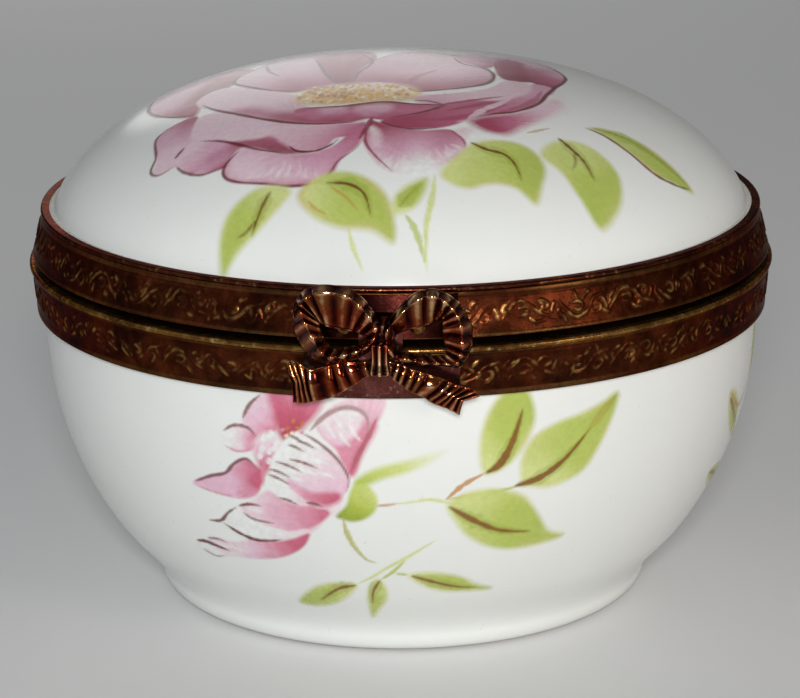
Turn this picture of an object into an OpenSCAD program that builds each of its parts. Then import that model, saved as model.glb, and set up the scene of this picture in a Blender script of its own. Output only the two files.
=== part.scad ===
// Hinged porcelain trinket box with brass bands and a ribbon-bow clasp.
// Millimetres. +Z is up, the bow faces -Y, the hinge is at +Y, and the origin is the
// centre of the foot's underside.

/* [Bands] */
// Outer radius of the lower band at the parting line
band_r = 39; // [38.6:0.1:39.4]
// Height of the lower band
base_band_h = 5.1; // [4.6:0.1:5.6]
// Height of the upper band
lid_band_h = 4.8; // [4.4:0.1:5.2]
// How much the lower band narrows towards its bottom edge
base_taper = 0.4; // [0.2:0.05:0.6]
// How much the upper band narrows towards its top edge
lid_taper = 1.2; // [1:0.05:1.3]
// Thickness of the band strip
band_t = 0.5; // [0.4:0.05:0.6]
// Open gap between the two bands with the lid shut
band_gap = 0.8; // [0.7:0.05:0.9]

/* [Porcelain base] */
// Height of the parting line above the table
parting_z = 36.2; // [35.5:0.1:37]
// Radius of the arc that makes the bowl's side
bowl_arc_r = 36.5; // [36:0.1:37]
// Height of that arc's centre
bowl_arc_z = 29.2; // [28.8:0.1:29.6]
// Wall thickness of the bowl
bowl_wall = 2.8; // [2.4:0.1:3.2]
// Radius of the foot's underside
foot_r = 25.2; // [24.8:0.1:25.4]
// Width of the ring that the foot stands on
foot_ring_w = 3; // [2.5:0.1:3.5]
// Depth of the hollow under the foot
foot_recess = 1.4; // [1:0.1:1.8]

/* [Porcelain lid] */
// Height of the crown above the upper band
crown_h = 14; // [13:0.1:15]
// Wall thickness of the lid
lid_wall = 2.4; // [2:0.1:2.8]

/* [Hinge] */
// Radius of the hinge knuckles
knuckle_r = 1.5; // [1.4:0.05:1.55]
// Radius of the hinge pin
pin_r = 0.6; // [0.5:0.05:0.7]
// Running clearance round the pin
pin_clearance = 0.05; // [0.02:0.01:0.08]
// Width of the whole hinge
hinge_w = 16; // [14:0.5:18]
// Angle that the lid is drawn at
lid_open = 0; // [0:5:105]

/* [Bow clasp] */
// Height of the middle of the knot
knot_z = 36; // [35.6:0.1:36.3]
// Half the angle of the plain plates behind the bow
plate_angle = 11; // [9:0.5:13]
// Angle that the sprung clasp is drawn at
clasp_flex = 0; // [0:0.5:4]

/* [Hidden] */
$fn = 120;
eps = 0.01;

porcelain = "#f4f2ee";
cement = "#e6e0d4";
brass = "#8a4f22";
gilt = "#b98a45";

// Heights of the two bands
base_band_z = parting_z - base_band_h;
lid_band_z = parting_z + band_gap;
lid_top_z = lid_band_z + lid_band_h;

// Rim wires: half-round rings along the outer edge of each band
wire_h = 0.65;
lid_wire_h = 0.5;
wire_land = 0.65;
base_wire_z = parting_z - wire_h;
lid_wire_z = lid_top_z - lid_wire_h;

// Bezels: flat inner flanges, with a locating lip standing on the lower one
flange_t = 0.6;
bezel_r = 34.6;
lip_t = 0.7;
lip_h = 1.4;
lid_flange_z = parting_z + lip_h + 0.15;

// Outer radius of the lower and upper bands at a height
lid_band_r = band_r - 0.15;
function base_r(z) = band_r - base_taper * (parting_z - z) / base_band_h;
function lid_r(z) = lid_band_r - lid_taper * (z - lid_band_z) / lid_band_h;

// Porcelain bowl: one long arc, a short hollow sweep and a foot that narrows downwards
bowl_r = band_r - 1.35;
bowl_top_z = parting_z - flange_t;
waist_z = 5;
bowl_floor_z = 4.6;
foot_edge = 0.7;
function bowl_x(z, inset) =
  bowl_r - bowl_arc_r + sqrt(pow(bowl_arc_r - inset, 2) - pow(z - bowl_arc_z, 2));
function blend(a, b, c, t) = a * (1 - t) * (1 - t) + b * 2 * t * (1 - t) + c * t * t;
waist_r = bowl_x(waist_z, 0);
foot_top = [foot_r + 1.3, 2.4];
sweep_knee = [foot_r + 1.5, 3.1];
side_steps = 28;
sweep_steps = 6;
edge_steps = 5;
bowl_outside = concat(
  [for (i = [0:side_steps])
    let (z = bowl_top_z - (bowl_top_z - waist_z) * i / side_steps) [bowl_x(z, 0), z]],
  [for (i = [1:sweep_steps]) blend([waist_r, waist_z], sweep_knee, foot_top, i / sweep_steps)],
  [for (i = [0:edge_steps])
    let (a = 90 * i / edge_steps)
      [foot_r - foot_edge + foot_edge * cos(a), foot_edge - foot_edge * sin(a)]]
);
floor_round = 7;
floor_start_z = bowl_floor_z + floor_round * 0.55;
bowl_inside = concat(
  [for (i = [0:side_steps])
    let (z = floor_start_z + (bowl_top_z - floor_start_z) * i / side_steps)
      [bowl_x(z, bowl_wall), z]]
);
floor_edge_r = bowl_x(floor_start_z, bowl_wall);
floor_sweep = [for (i = [0:sweep_steps - 1])
  blend([floor_edge_r - floor_round, bowl_floor_z], [floor_edge_r - 2.2, bowl_floor_z],
        [floor_edge_r, floor_start_z], i / sweep_steps)];
foot_hollow = [[foot_r - foot_ring_w, 0], [foot_r - foot_ring_w - foot_recess, foot_recess],
               [0, foot_recess]];

// Porcelain dome: a full, flattened curve whose height depends on the radius
dome_r = band_r - 1.85;
dome_spring_z = lid_top_z - 3;
dome_h = crown_h + 3;
dome_p = 2.43;
dome_q = 1.83;
dome_foot_z = lid_flange_z + flange_t;
dome_steps = 30;
function dome_point(r, h, a) =
  [r * sin(a), dome_spring_z + h * pow(1 - pow(sin(a), dome_p), 1 / dome_q)];
function dome_curve(r, h) = [for (i = [0:dome_steps]) dome_point(r, h, 90 * i / dome_steps)];

// Hinge: its axis stands as far behind the bands as the bow stands in front
reach = 42.5;
hinge_y = reach - knuckle_r;
hinge_z = parting_z + band_gap / 2;
leaf_t = 0.6;
leaf_angle = 12;
knuckle_gap = 0.1;
middle_w = hinge_w * 0.36;

// Clasp: a sprung tongue hangs from a lug on the upper plate, and carries the bow
plate_t = 0.3;
tongue_r = 39.55;
tongue_t = 0.4;
tongue_w = 4.2;
tongue_top_z = parting_z + 2.5;
tongue_bottom_z = base_band_z + 0.9;
pivot_z = tongue_top_z + 0.05;
pivot_y = -(tongue_r + tongue_t / 2);
bow_tilt = 6;
tail_r = tongue_r + tongue_t;
tail_t = 0.95;
loop_r = tail_r + tail_t + 0.1;
loop_t = reach - 0.25 - loop_r;
loop_steps = 36;
loop_fullness = 0.28;

// A solid of revolution that fills the band's inside, used to trim what sits on it
module base_core() rotate_extrude() polygon([
  [0, base_band_z - 1], [base_r(base_band_z - 1), base_band_z - 1],
  [base_r(parting_z), parting_z], [0, parting_z]
]);
module lid_core() rotate_extrude() polygon([
  [0, lid_band_z], [lid_r(lid_band_z), lid_band_z],
  [lid_r(lid_top_z + 1), lid_top_z + 1], [0, lid_top_z + 1]
]);

module opened(angle) translate([0, hinge_y, hinge_z]) rotate([-angle, 0, 0])
  translate([0, -hinge_y, -hinge_z]) children();
module flexed(angle) translate([0, pivot_y, pivot_z]) rotate([-angle, 0, 0])
  translate([0, -pivot_y, -pivot_z]) children();
module on_lid() opened(lid_open) children();
module on_clasp() on_lid() flexed(clasp_flex) children();

// Turns a (radius, height) outline through an angle centred on the given direction
module arc_of(half_angle, direction) rotate([0, 0, direction - half_angle])
  rotate_extrude(angle = 2 * half_angle) children();

module base_bowl() color(porcelain) rotate_extrude()
  polygon(concat([[0, foot_recess], [0, bowl_floor_z]], floor_sweep, bowl_inside,
                 bowl_outside, [foot_hollow[0], foot_hollow[1]]));

module base_cement() color(cement) rotate_extrude() difference() {
  polygon([
    [bowl_r - 2, base_band_z - 0.15], [base_r(base_band_z) - band_t, base_band_z - 0.15],
    [base_r(base_band_z) - band_t, base_band_z],
    [base_r(base_wire_z) - band_t, base_wire_z], [bowl_r - 2, base_wire_z]
  ]);
  polygon(concat(bowl_outside, [[0, 0], [0, bowl_top_z]]));
}

module base_band() color(brass) rotate_extrude() polygon([
  [base_r(base_band_z) - band_t, base_band_z], [base_r(base_band_z), base_band_z],
  [base_r(base_wire_z), base_wire_z], [base_r(base_wire_z) - band_t, base_wire_z]
]);

module base_rim_wire() color(gilt) rotate_extrude() union() {
  translate([band_r - wire_land, base_wire_z]) square([wire_land - 0.05, wire_h]);
  translate([band_r - 0.075, base_wire_z + wire_h / 2]) circle(r = wire_h / 2, $fn = 32);
}

module base_bezel() color(gilt) rotate_extrude() union() {
  translate([bezel_r, parting_z - flange_t]) square([band_r - wire_land - bezel_r, flange_t]);
  translate([bezel_r, parting_z - eps]) square([lip_t, lip_h + eps]);
}

module catch_plate() color(gilt) arc_of(plate_angle, -90) polygon([
  [base_r(base_band_z + 0.2), base_band_z + 0.2],
  [base_r(base_band_z + 0.2) + plate_t, base_band_z + 0.2],
  [base_r(base_wire_z - 0.1) + plate_t, base_wire_z - 0.1],
  [base_r(base_wire_z - 0.1), base_wire_z - 0.1]
]);

// Low bead that the tongue's lower edge snaps over
nib_z = base_band_z + 2;
nib_reach = 0.4;
module catch_nib() color(gilt)
  translate([0, -base_r(nib_z) - plate_t, nib_z]) rotate([90, 0, 0]) rotate_extrude()
    polygon([[0, 0.02], [0.75, 0.02], [0.55, nib_reach * 0.6], [0, nib_reach * 0.75]]);

// Knuckles along the hinge axis between two x positions
module knuckle(x0, x1) translate([x0, hinge_y, hinge_z]) rotate([0, 90, 0])
  cylinder(r = knuckle_r, h = x1 - x0);
module pin_bore() translate([-hinge_w, hinge_y, hinge_z]) rotate([0, 90, 0])
  cylinder(r = pin_r + pin_clearance, h = 2 * hinge_w);

web_h = 0.85;
outer_x = middle_w / 2 + knuckle_gap;
module hinge_leaf_lower() color(brass) difference() {
  union() {
    arc_of(leaf_angle, 90) polygon([
      [band_r - 1, base_band_z + 0.3], [base_r(base_band_z) + leaf_t, base_band_z + 0.3],
      [band_r + leaf_t, base_wire_z - 0.1], [band_r - 1, base_wire_z - 0.1]
    ]);
    for (side = [-1, 1]) {
      near = side < 0 ? -hinge_w / 2 : outer_x;
      knuckle(near, near + hinge_w / 2 - outer_x);
      translate([near, band_r - 1, base_wire_z - 0.1 - web_h])
        cube([hinge_w / 2 - outer_x, hinge_y - band_r + 1, web_h]);
    }
  }
  base_core();
  pin_bore();
}

module hinge_leaf_upper() color(brass) on_lid() difference() {
  union() {
    arc_of(leaf_angle, 90) polygon([
      [lid_r(lid_top_z) - 1, lid_band_z + 0.3], [lid_r(lid_band_z) + leaf_t, lid_band_z + 0.3],
      [lid_r(lid_wire_z) + leaf_t, lid_wire_z - 0.1], [lid_r(lid_top_z) - 1, lid_wire_z - 0.1]
    ]);
    knuckle(-middle_w / 2, middle_w / 2);
    translate([-middle_w / 2, band_r - 1.5, lid_band_z + 0.5])
      cube([middle_w, hinge_y - band_r + 1.5, web_h]);
  }
  lid_core();
  pin_bore();
}

pin_head_r = 0.95;
pin_head_t = 0.4;
module hinge_pin() color(gilt) translate([0, hinge_y, hinge_z]) rotate([0, 90, 0]) union() {
  translate([0, 0, -hinge_w / 2 - 0.05]) cylinder(r = pin_r, h = hinge_w + 0.1);
  translate([0, 0, hinge_w / 2 + 0.05]) cylinder(r = pin_head_r, h = pin_head_t);
  translate([0, 0, -hinge_w / 2 - 0.05 - pin_head_t]) cylinder(r = pin_head_r, h = pin_head_t);
}

module lid_dome() color(porcelain) on_lid() rotate_extrude() polygon(concat(
  dome_curve(dome_r, dome_h),
  [[dome_r, dome_foot_z], [dome_r - lid_wall, dome_foot_z]],
  [for (i = [dome_steps:-1:0])
    dome_point(dome_r - lid_wall, dome_h - lid_wall, 90 * i / dome_steps)]
));

module lid_cement() color(cement) on_lid() rotate_extrude() difference() {
  polygon([
    [dome_r - 3, dome_foot_z], [lid_r(dome_foot_z) - band_t, dome_foot_z],
    [lid_r(lid_wire_z) - band_t, lid_wire_z],
    [lid_r(lid_top_z) - wire_land, lid_wire_z],
    [lid_r(lid_top_z) - wire_land, lid_top_z - 0.1], [dome_r - 3, lid_top_z - 0.1]
  ]);
  polygon(concat([[0, 0], [0, dome_spring_z]], dome_curve(dome_r, dome_h), [[dome_r, 0]]));
}

module lid_band() color(brass) on_lid() rotate_extrude() polygon([
  [lid_r(lid_band_z) - band_t, lid_band_z], [lid_r(lid_band_z), lid_band_z],
  [lid_r(lid_wire_z), lid_wire_z], [lid_r(lid_wire_z) - band_t, lid_wire_z]
]);

module lid_rim_wire() color(gilt) on_lid() rotate_extrude() union() {
  translate([lid_r(lid_top_z) - wire_land, lid_wire_z]) square([wire_land, lid_wire_h]);
  translate([lid_r(lid_top_z), lid_wire_z + lid_wire_h / 2])
    circle(r = lid_wire_h / 2, $fn = 32);
}

module lid_bezel() color(gilt) on_lid() rotate_extrude()
  translate([bezel_r - 0.2, lid_flange_z])
    square([lid_r(dome_foot_z) - band_t - bezel_r + 0.2, flange_t]);

// Smooth plate soldered to the upper band, with the lug that the tongue hangs from
lug_w = 2.4;
lug_h = 0.9;
module clasp_plate() color(gilt) on_lid() union() {
  arc_of(plate_angle, -90) polygon([
    [lid_r(lid_band_z + 0.2), lid_band_z + 0.2],
    [lid_r(lid_band_z + 0.2) + plate_t, lid_band_z + 0.2],
    [lid_r(lid_wire_z - 0.1) + plate_t, lid_wire_z - 0.1],
    [lid_r(lid_wire_z - 0.1), lid_wire_z - 0.1]
  ]);
  difference() {
    translate([-lug_w / 2, -tongue_r - tongue_t, pivot_z])
      cube([lug_w, tongue_r + tongue_t - lid_band_r + 2, lug_h]);
    lid_core();
  }
}

// Two domed rivets that hold the plate to the band
rivet_x = 3.5;
rivet_z = lid_band_z + 1.3;
rivet_r = 0.8;
module clasp_rivets() color(gilt) on_lid() for (side = [-1, 1])
  rotate([0, 0, side * asin(rivet_x / band_r)])
    translate([0, -lid_r(rivet_z) - plate_t - 0.05, rivet_z]) rotate([90, 0, 0])
      rotate_extrude() polygon(concat([[0, 0], [rivet_r, 0]],
        [for (i = [1:6]) [rivet_r * cos(15 * i), 0.45 * sin(15 * i)]]));

module clasp_tongue() color(brass) on_clasp() union() {
  translate([-tongue_w / 2, -tongue_r - tongue_t, tongue_bottom_z])
    cube([tongue_w, tongue_t, tongue_top_z - tongue_bottom_z]);
  translate([-tongue_w / 2, -tongue_r - eps, tongue_bottom_z])
    cube([tongue_w, 0.1, 0.5]);
}

knot_h = 2.6;
knot_r = 0.85;
knot_waist = 0.12;
knot_y = -(reach - knot_r - knot_waist);
module bow_knot() color(gilt) on_clasp() union() {
  translate([0, knot_y, knot_z - knot_h / 2]) rotate_extrude() polygon(concat(
    [[0, 0]],
    [for (i = [0:12])
      [knot_r + knot_waist * cos(30 * i), knot_h * i / 12]],
    [[0, knot_h]]
  ));
  translate([-0.6, knot_y, knot_z - 0.8]) cube([1.2, -knot_y - tongue_r - tongue_t, 1.6]);
}

// Ribbon loop: a leaning, nearly round teardrop with its narrow end at the knot
module loop_shape(near, far, high, lean) rotate([0, 0, lean])
  polygon([for (i = [0:loop_steps - 1])
    let (a = 360 * i / loop_steps, along = (1 + cos(a)) / 2)
      [near + (far - near) * along, sin(a) * pow(along, loop_fullness) * high / 2]]);
module bow_loop(side, lean, grow) on_clasp()
  translate([0, 0, knot_z]) rotate([0, 0, side * bow_tilt])
    translate([0, -loop_r, 0]) rotate([90, 0, 0]) linear_extrude(loop_t)
      mirror([side < 0 ? 1 : 0, 0]) translate([-loop_r * sin(bow_tilt), 0]) difference() {
        loop_shape(1, 8.6 * grow, 7.2 * grow, lean);
        loop_shape(2.9, 7.2 * grow, 4.2 * grow, lean);
      }
module bow_loop_left() color(gilt) bow_loop(-1, 35, 1);
module bow_loop_right() color(gilt) bow_loop(1, 32, 1.04);

// Ribbon tail: a widening strip with a V cut in its end
module bow_tail(side, outline) on_clasp()
  translate([0, 0, knot_z]) rotate([0, 0, side * bow_tilt])
    translate([0, -tail_r, 0]) rotate([90, 0, 0]) linear_extrude(tail_t)
      mirror([side < 0 ? 1 : 0, 0]) translate([-tail_r * sin(bow_tilt), 0])
        polygon(outline);
module bow_tail_left() color(gilt) bow_tail(-1, [
  [0.9, -0.4], [0.9, -1.8], [4, -3.6], [8.1, -4.9], [7.9, -3.1], [9.2, -1.4], [5, -1.6]
]);
module bow_tail_right() color(gilt) bow_tail(1, [
  [0.9, -0.4], [0.9, -1.8], [4, -3.9], [7.5, -6], [7.6, -4.9], [9.2, -4.3], [5, -1.8]
]);

base_bowl();
base_cement();
base_band();
base_rim_wire();
base_bezel();
catch_plate();
catch_nib();
hinge_leaf_lower();
hinge_pin();
lid_dome();
lid_cement();
lid_band();
lid_rim_wire();
lid_bezel();
hinge_leaf_upper();
clasp_plate();
clasp_rivets();
clasp_tongue();
bow_knot();
bow_loop_left();
bow_loop_right();
bow_tail_left();
bow_tail_right();
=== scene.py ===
import math

import bmesh
import bpy
import numpy as np
from mathutils import Matrix, Vector


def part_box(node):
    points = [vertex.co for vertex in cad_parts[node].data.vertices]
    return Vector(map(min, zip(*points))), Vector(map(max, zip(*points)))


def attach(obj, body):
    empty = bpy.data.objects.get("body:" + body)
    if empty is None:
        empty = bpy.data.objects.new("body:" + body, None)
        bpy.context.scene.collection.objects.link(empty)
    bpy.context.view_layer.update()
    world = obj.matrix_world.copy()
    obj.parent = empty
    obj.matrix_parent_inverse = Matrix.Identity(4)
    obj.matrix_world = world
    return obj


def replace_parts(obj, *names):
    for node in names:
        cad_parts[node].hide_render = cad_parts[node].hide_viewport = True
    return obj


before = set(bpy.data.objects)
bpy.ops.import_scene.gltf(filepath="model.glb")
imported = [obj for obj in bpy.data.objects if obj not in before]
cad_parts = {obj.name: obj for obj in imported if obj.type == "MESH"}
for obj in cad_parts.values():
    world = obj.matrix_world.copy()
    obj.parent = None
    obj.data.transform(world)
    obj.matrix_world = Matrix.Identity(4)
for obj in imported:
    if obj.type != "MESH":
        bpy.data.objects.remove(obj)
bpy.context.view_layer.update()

# Lengths below are in millimetres; MM turns them into the frame's metres.
MM = 0.001


# ---------------------------------------------------------------- sizes, from the CAD frame

def low(node):
    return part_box(node)[0] / MM


def high(node):
    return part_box(node)[1] / MM


PARTING_Z = high("base_rim_wire").z
LID_TOP_Z = high("lid_rim_wire").z
LID_BAND_Z = low("lid_band").z
BASE_BAND_Z = low("base_band").z
LID_WIRE_Z = high("lid_band").z
BASE_WIRE_Z = high("base_band").z
DOME_R = high("lid_dome").x
DOME_TOP_Z = high("lid_dome").z
DOME_FOOT_Z = low("lid_dome").z
BOWL_TOP_Z = high("base_bowl").z

# The engraved strips: thickness, outside radius, and how much each narrows per millimetre
BAND_T = 0.5
BAND_R = 39.0
BASE_TAPER = 0.4 / 5.1
LID_TAPER = 1.2 / 4.8
LID_SETBACK = 0.15

# The foot's radius, and how far the bow's front stands from the box's axis
FOOT_R = 25.2
REACH = 42.5

# The long arc of the bowl's side, and the two walls
ARC_R = 36.5
ARC_Z = 29.2
BOWL_R = BAND_R - 1.35
BOWL_WALL = 2.8
LID_WALL = 2.4

# The lid's curve: how far below the rim wire it starts, and its two exponents
SPRING_DROP = 3
DOME_FLATNESS = 2.43
DOME_SHOULDER = 1.83

# How far a full film of enamel stands above the glaze, and the height that it swells from
FILM_LIFT = 0.035
MIDDLE_Z = 26.0


def base_band_r(z):
    return BAND_R - BASE_TAPER * (PARTING_Z - z)


def lid_band_r(z):
    return BAND_R - LID_SETBACK - LID_TAPER * (z - LID_BAND_Z)


def bowl_r(z, inset=0.0):
    return BOWL_R - ARC_R + np.sqrt((ARC_R - inset) ** 2 - (z - ARC_Z) ** 2)


def dome_z(r, inset=0.0):
    """Height of the lid's surface at a radius: a full, flattened curve."""
    spring = LID_TOP_Z - SPRING_DROP
    share = np.clip(r / (DOME_R - inset), 0, 1)
    rise = DOME_TOP_Z - spring - inset
    return spring + rise * (1 - share ** DOME_FLATNESS) ** (1 / DOME_SHOULDER)


# ---------------------------------------------------------------- mesh helpers

def new_mesh(name, verts_mm, faces, body):
    """A smooth mesh, its faces turned outwards, that rides on a body."""
    mesh = bpy.data.meshes.new(name)
    mesh.from_pydata((np.asarray(verts_mm, float) * MM).tolist(), [], faces)
    mesh.validate()
    mesh.polygons.foreach_set("use_smooth", [True] * len(mesh.polygons))
    work = bmesh.new()
    work.from_mesh(mesh)
    bmesh.ops.recalc_face_normals(work, faces=work.faces)
    work.to_mesh(mesh)
    work.free()
    obj = bpy.data.objects.new(name, mesh)
    bpy.context.scene.collection.objects.link(obj)
    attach(obj, body)
    return obj


def grid_faces(rows, cols, wrap_rows, wrap_cols):
    """Quads between the neighbours in a grid of points, which may join up either way."""
    i = np.arange(rows if wrap_rows else rows - 1)
    j = np.arange(cols if wrap_cols else cols - 1)
    I, J = np.meshgrid(i, j, indexing="ij")
    I2 = (I + 1) % rows
    J2 = (J + 1) % cols
    quads = np.stack([I * cols + J, I * cols + J2, I2 * cols + J2, I2 * cols + J], -1)
    return quads.reshape(-1, 4)


def lathe_points(profile, angles):
    """Points of a turned surface: rows follow the profile, columns go round."""
    profile = np.asarray(profile, float)
    r = profile[:, 0][:, None]
    z = profile[:, 1][:, None]
    flat = np.ones_like(angles)[None, :]
    return np.stack([r * np.sin(angles), -r * np.cos(angles), z * flat], -1)


def with_poles(points, first, last):
    """Vertices and faces of a turned solid whose end rows each close on one point."""
    rows, cols = points.shape[:2]
    verts = np.vstack([points.reshape(-1, 3), first, last])
    faces = grid_faces(rows, cols, False, True).tolist()
    ring = (rows - 1) * cols
    for j in range(cols):
        k = (j + 1) % cols
        faces.append([rows * cols, k, j])
        faces.append([rows * cols + 1, ring + j, ring + k])
    return verts, faces


def lathe_solid(points):
    """The same, closed on the box's axis."""
    return with_poles(points, [0, 0, points[0, 0, 2]], [0, 0, points[-1, 0, 2]])


def round_angles(fine_from, fine_to, fine_step, coarse_step):
    """Angles right round, in degrees from the bow, with a finer stretch for the painting."""
    fine = np.arange(fine_from, fine_to, fine_step)
    coarse = np.arange(fine_to, fine_from + 360, coarse_step)
    return np.radians(np.concatenate([fine, coarse]))


def resample(points, step):
    """The same line with points no further apart than step."""
    out = [points[0]]
    for a, b in zip(points[:-1], points[1:]):
        n = max(1, int(math.ceil(math.dist(a, b) / step)))
        out += [(a[0] + (b[0] - a[0]) * k / n, a[1] + (b[1] - a[1]) * k / n)
                for k in range(1, n + 1)]
    return out


def set_colour(obj, name, rgba):
    layer = obj.data.color_attributes.new(name, "FLOAT_COLOR", "POINT")
    layer.data.foreach_set("color", np.asarray(rgba, np.float32).ravel())


# ---------------------------------------------------------------- enamel painting

def linear(rgb):
    c = np.asarray(rgb, float) / 255
    return np.where(c <= 0.04045, c / 12.92, ((c + 0.055) / 1.055) ** 2.4)


WHITE = linear((233, 235, 232))
MAROON = linear((102, 24, 36))
UMBER = linear((108, 56, 26))
TAUPE = linear((136, 96, 84))
GOLD = linear((216, 164, 62))
CREAM = linear((240, 226, 188))
LEAF = linear((178, 194, 84))
LEAF_LIGHT = linear((208, 216, 138))
LEAF_DARK = linear((146, 162, 54))
OCHRE = linear((190, 134, 62))
BISCUIT = linear((214, 206, 192))
SPRAY_VEIN = UMBER * 0.8 + OCHRE * 0.2

SPAN_STEPS = 7       # places that a curve gets between two of its points
BRUSH_EDGE = 0.16    # width over which a brush mark fades out
MOTTLING = 0.09      # how much a wash wanders between its colours
RIM_WIDTH = 0.6      # width of the ring of other colour inside a leaf's or petal's edge
OFF_CANVAS = -500    # where the places that take no paint are sent
DEGREE = 0.645       # length of one degree round the bowl, where its painting is


def flat(points):
    """Places on the bowl, (degrees from the bow, height), in millimetres."""
    return [(a * DEGREE, z) for a, z in points]


def padded(points, closed):
    """The points with more at the ends: those round the loop, or straight on."""
    p = np.asarray(points, float)
    if closed:
        return np.vstack([p[-1], p, p[0], p[1]])
    return np.vstack([2 * p[0] - p[1], p, 2 * p[-1] - p[-2]])


def catmull_rom(a, b, c, d, t):
    return 0.5 * (2 * b + (c - a) * t + (2 * a - 5 * b + 4 * c - d) * t ** 2
                  + (3 * b - a - 3 * c + d) * t ** 3)


def smooth_line(points, closed=False):
    """Catmull-Rom curve through the points, with SPAN_STEPS places in each span."""
    p = padded(points, closed)
    t = np.linspace(0, 1, SPAN_STEPS, endpoint=False)[:, None]
    line = np.vstack([catmull_rom(*ends, t) for ends in zip(p[:-3], p[1:-2], p[2:-1], p[3:])])
    return line if closed else np.vstack([line, p[-2]])


def waves(p, size, seed):
    """Smooth mottling between about -1 and 1, with features of the given size."""
    r = np.random.default_rng(seed)
    total = np.zeros(len(p))
    for _ in range(6):
        a = r.uniform(0, 2 * math.pi)
        k = 2 * math.pi / (size * r.uniform(0.7, 1.6))
        total += np.sin(k * (p[:, 0] * math.cos(a) + p[:, 1] * math.sin(a)) + r.uniform(0, 6.3))
    return total / 3.2


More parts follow.
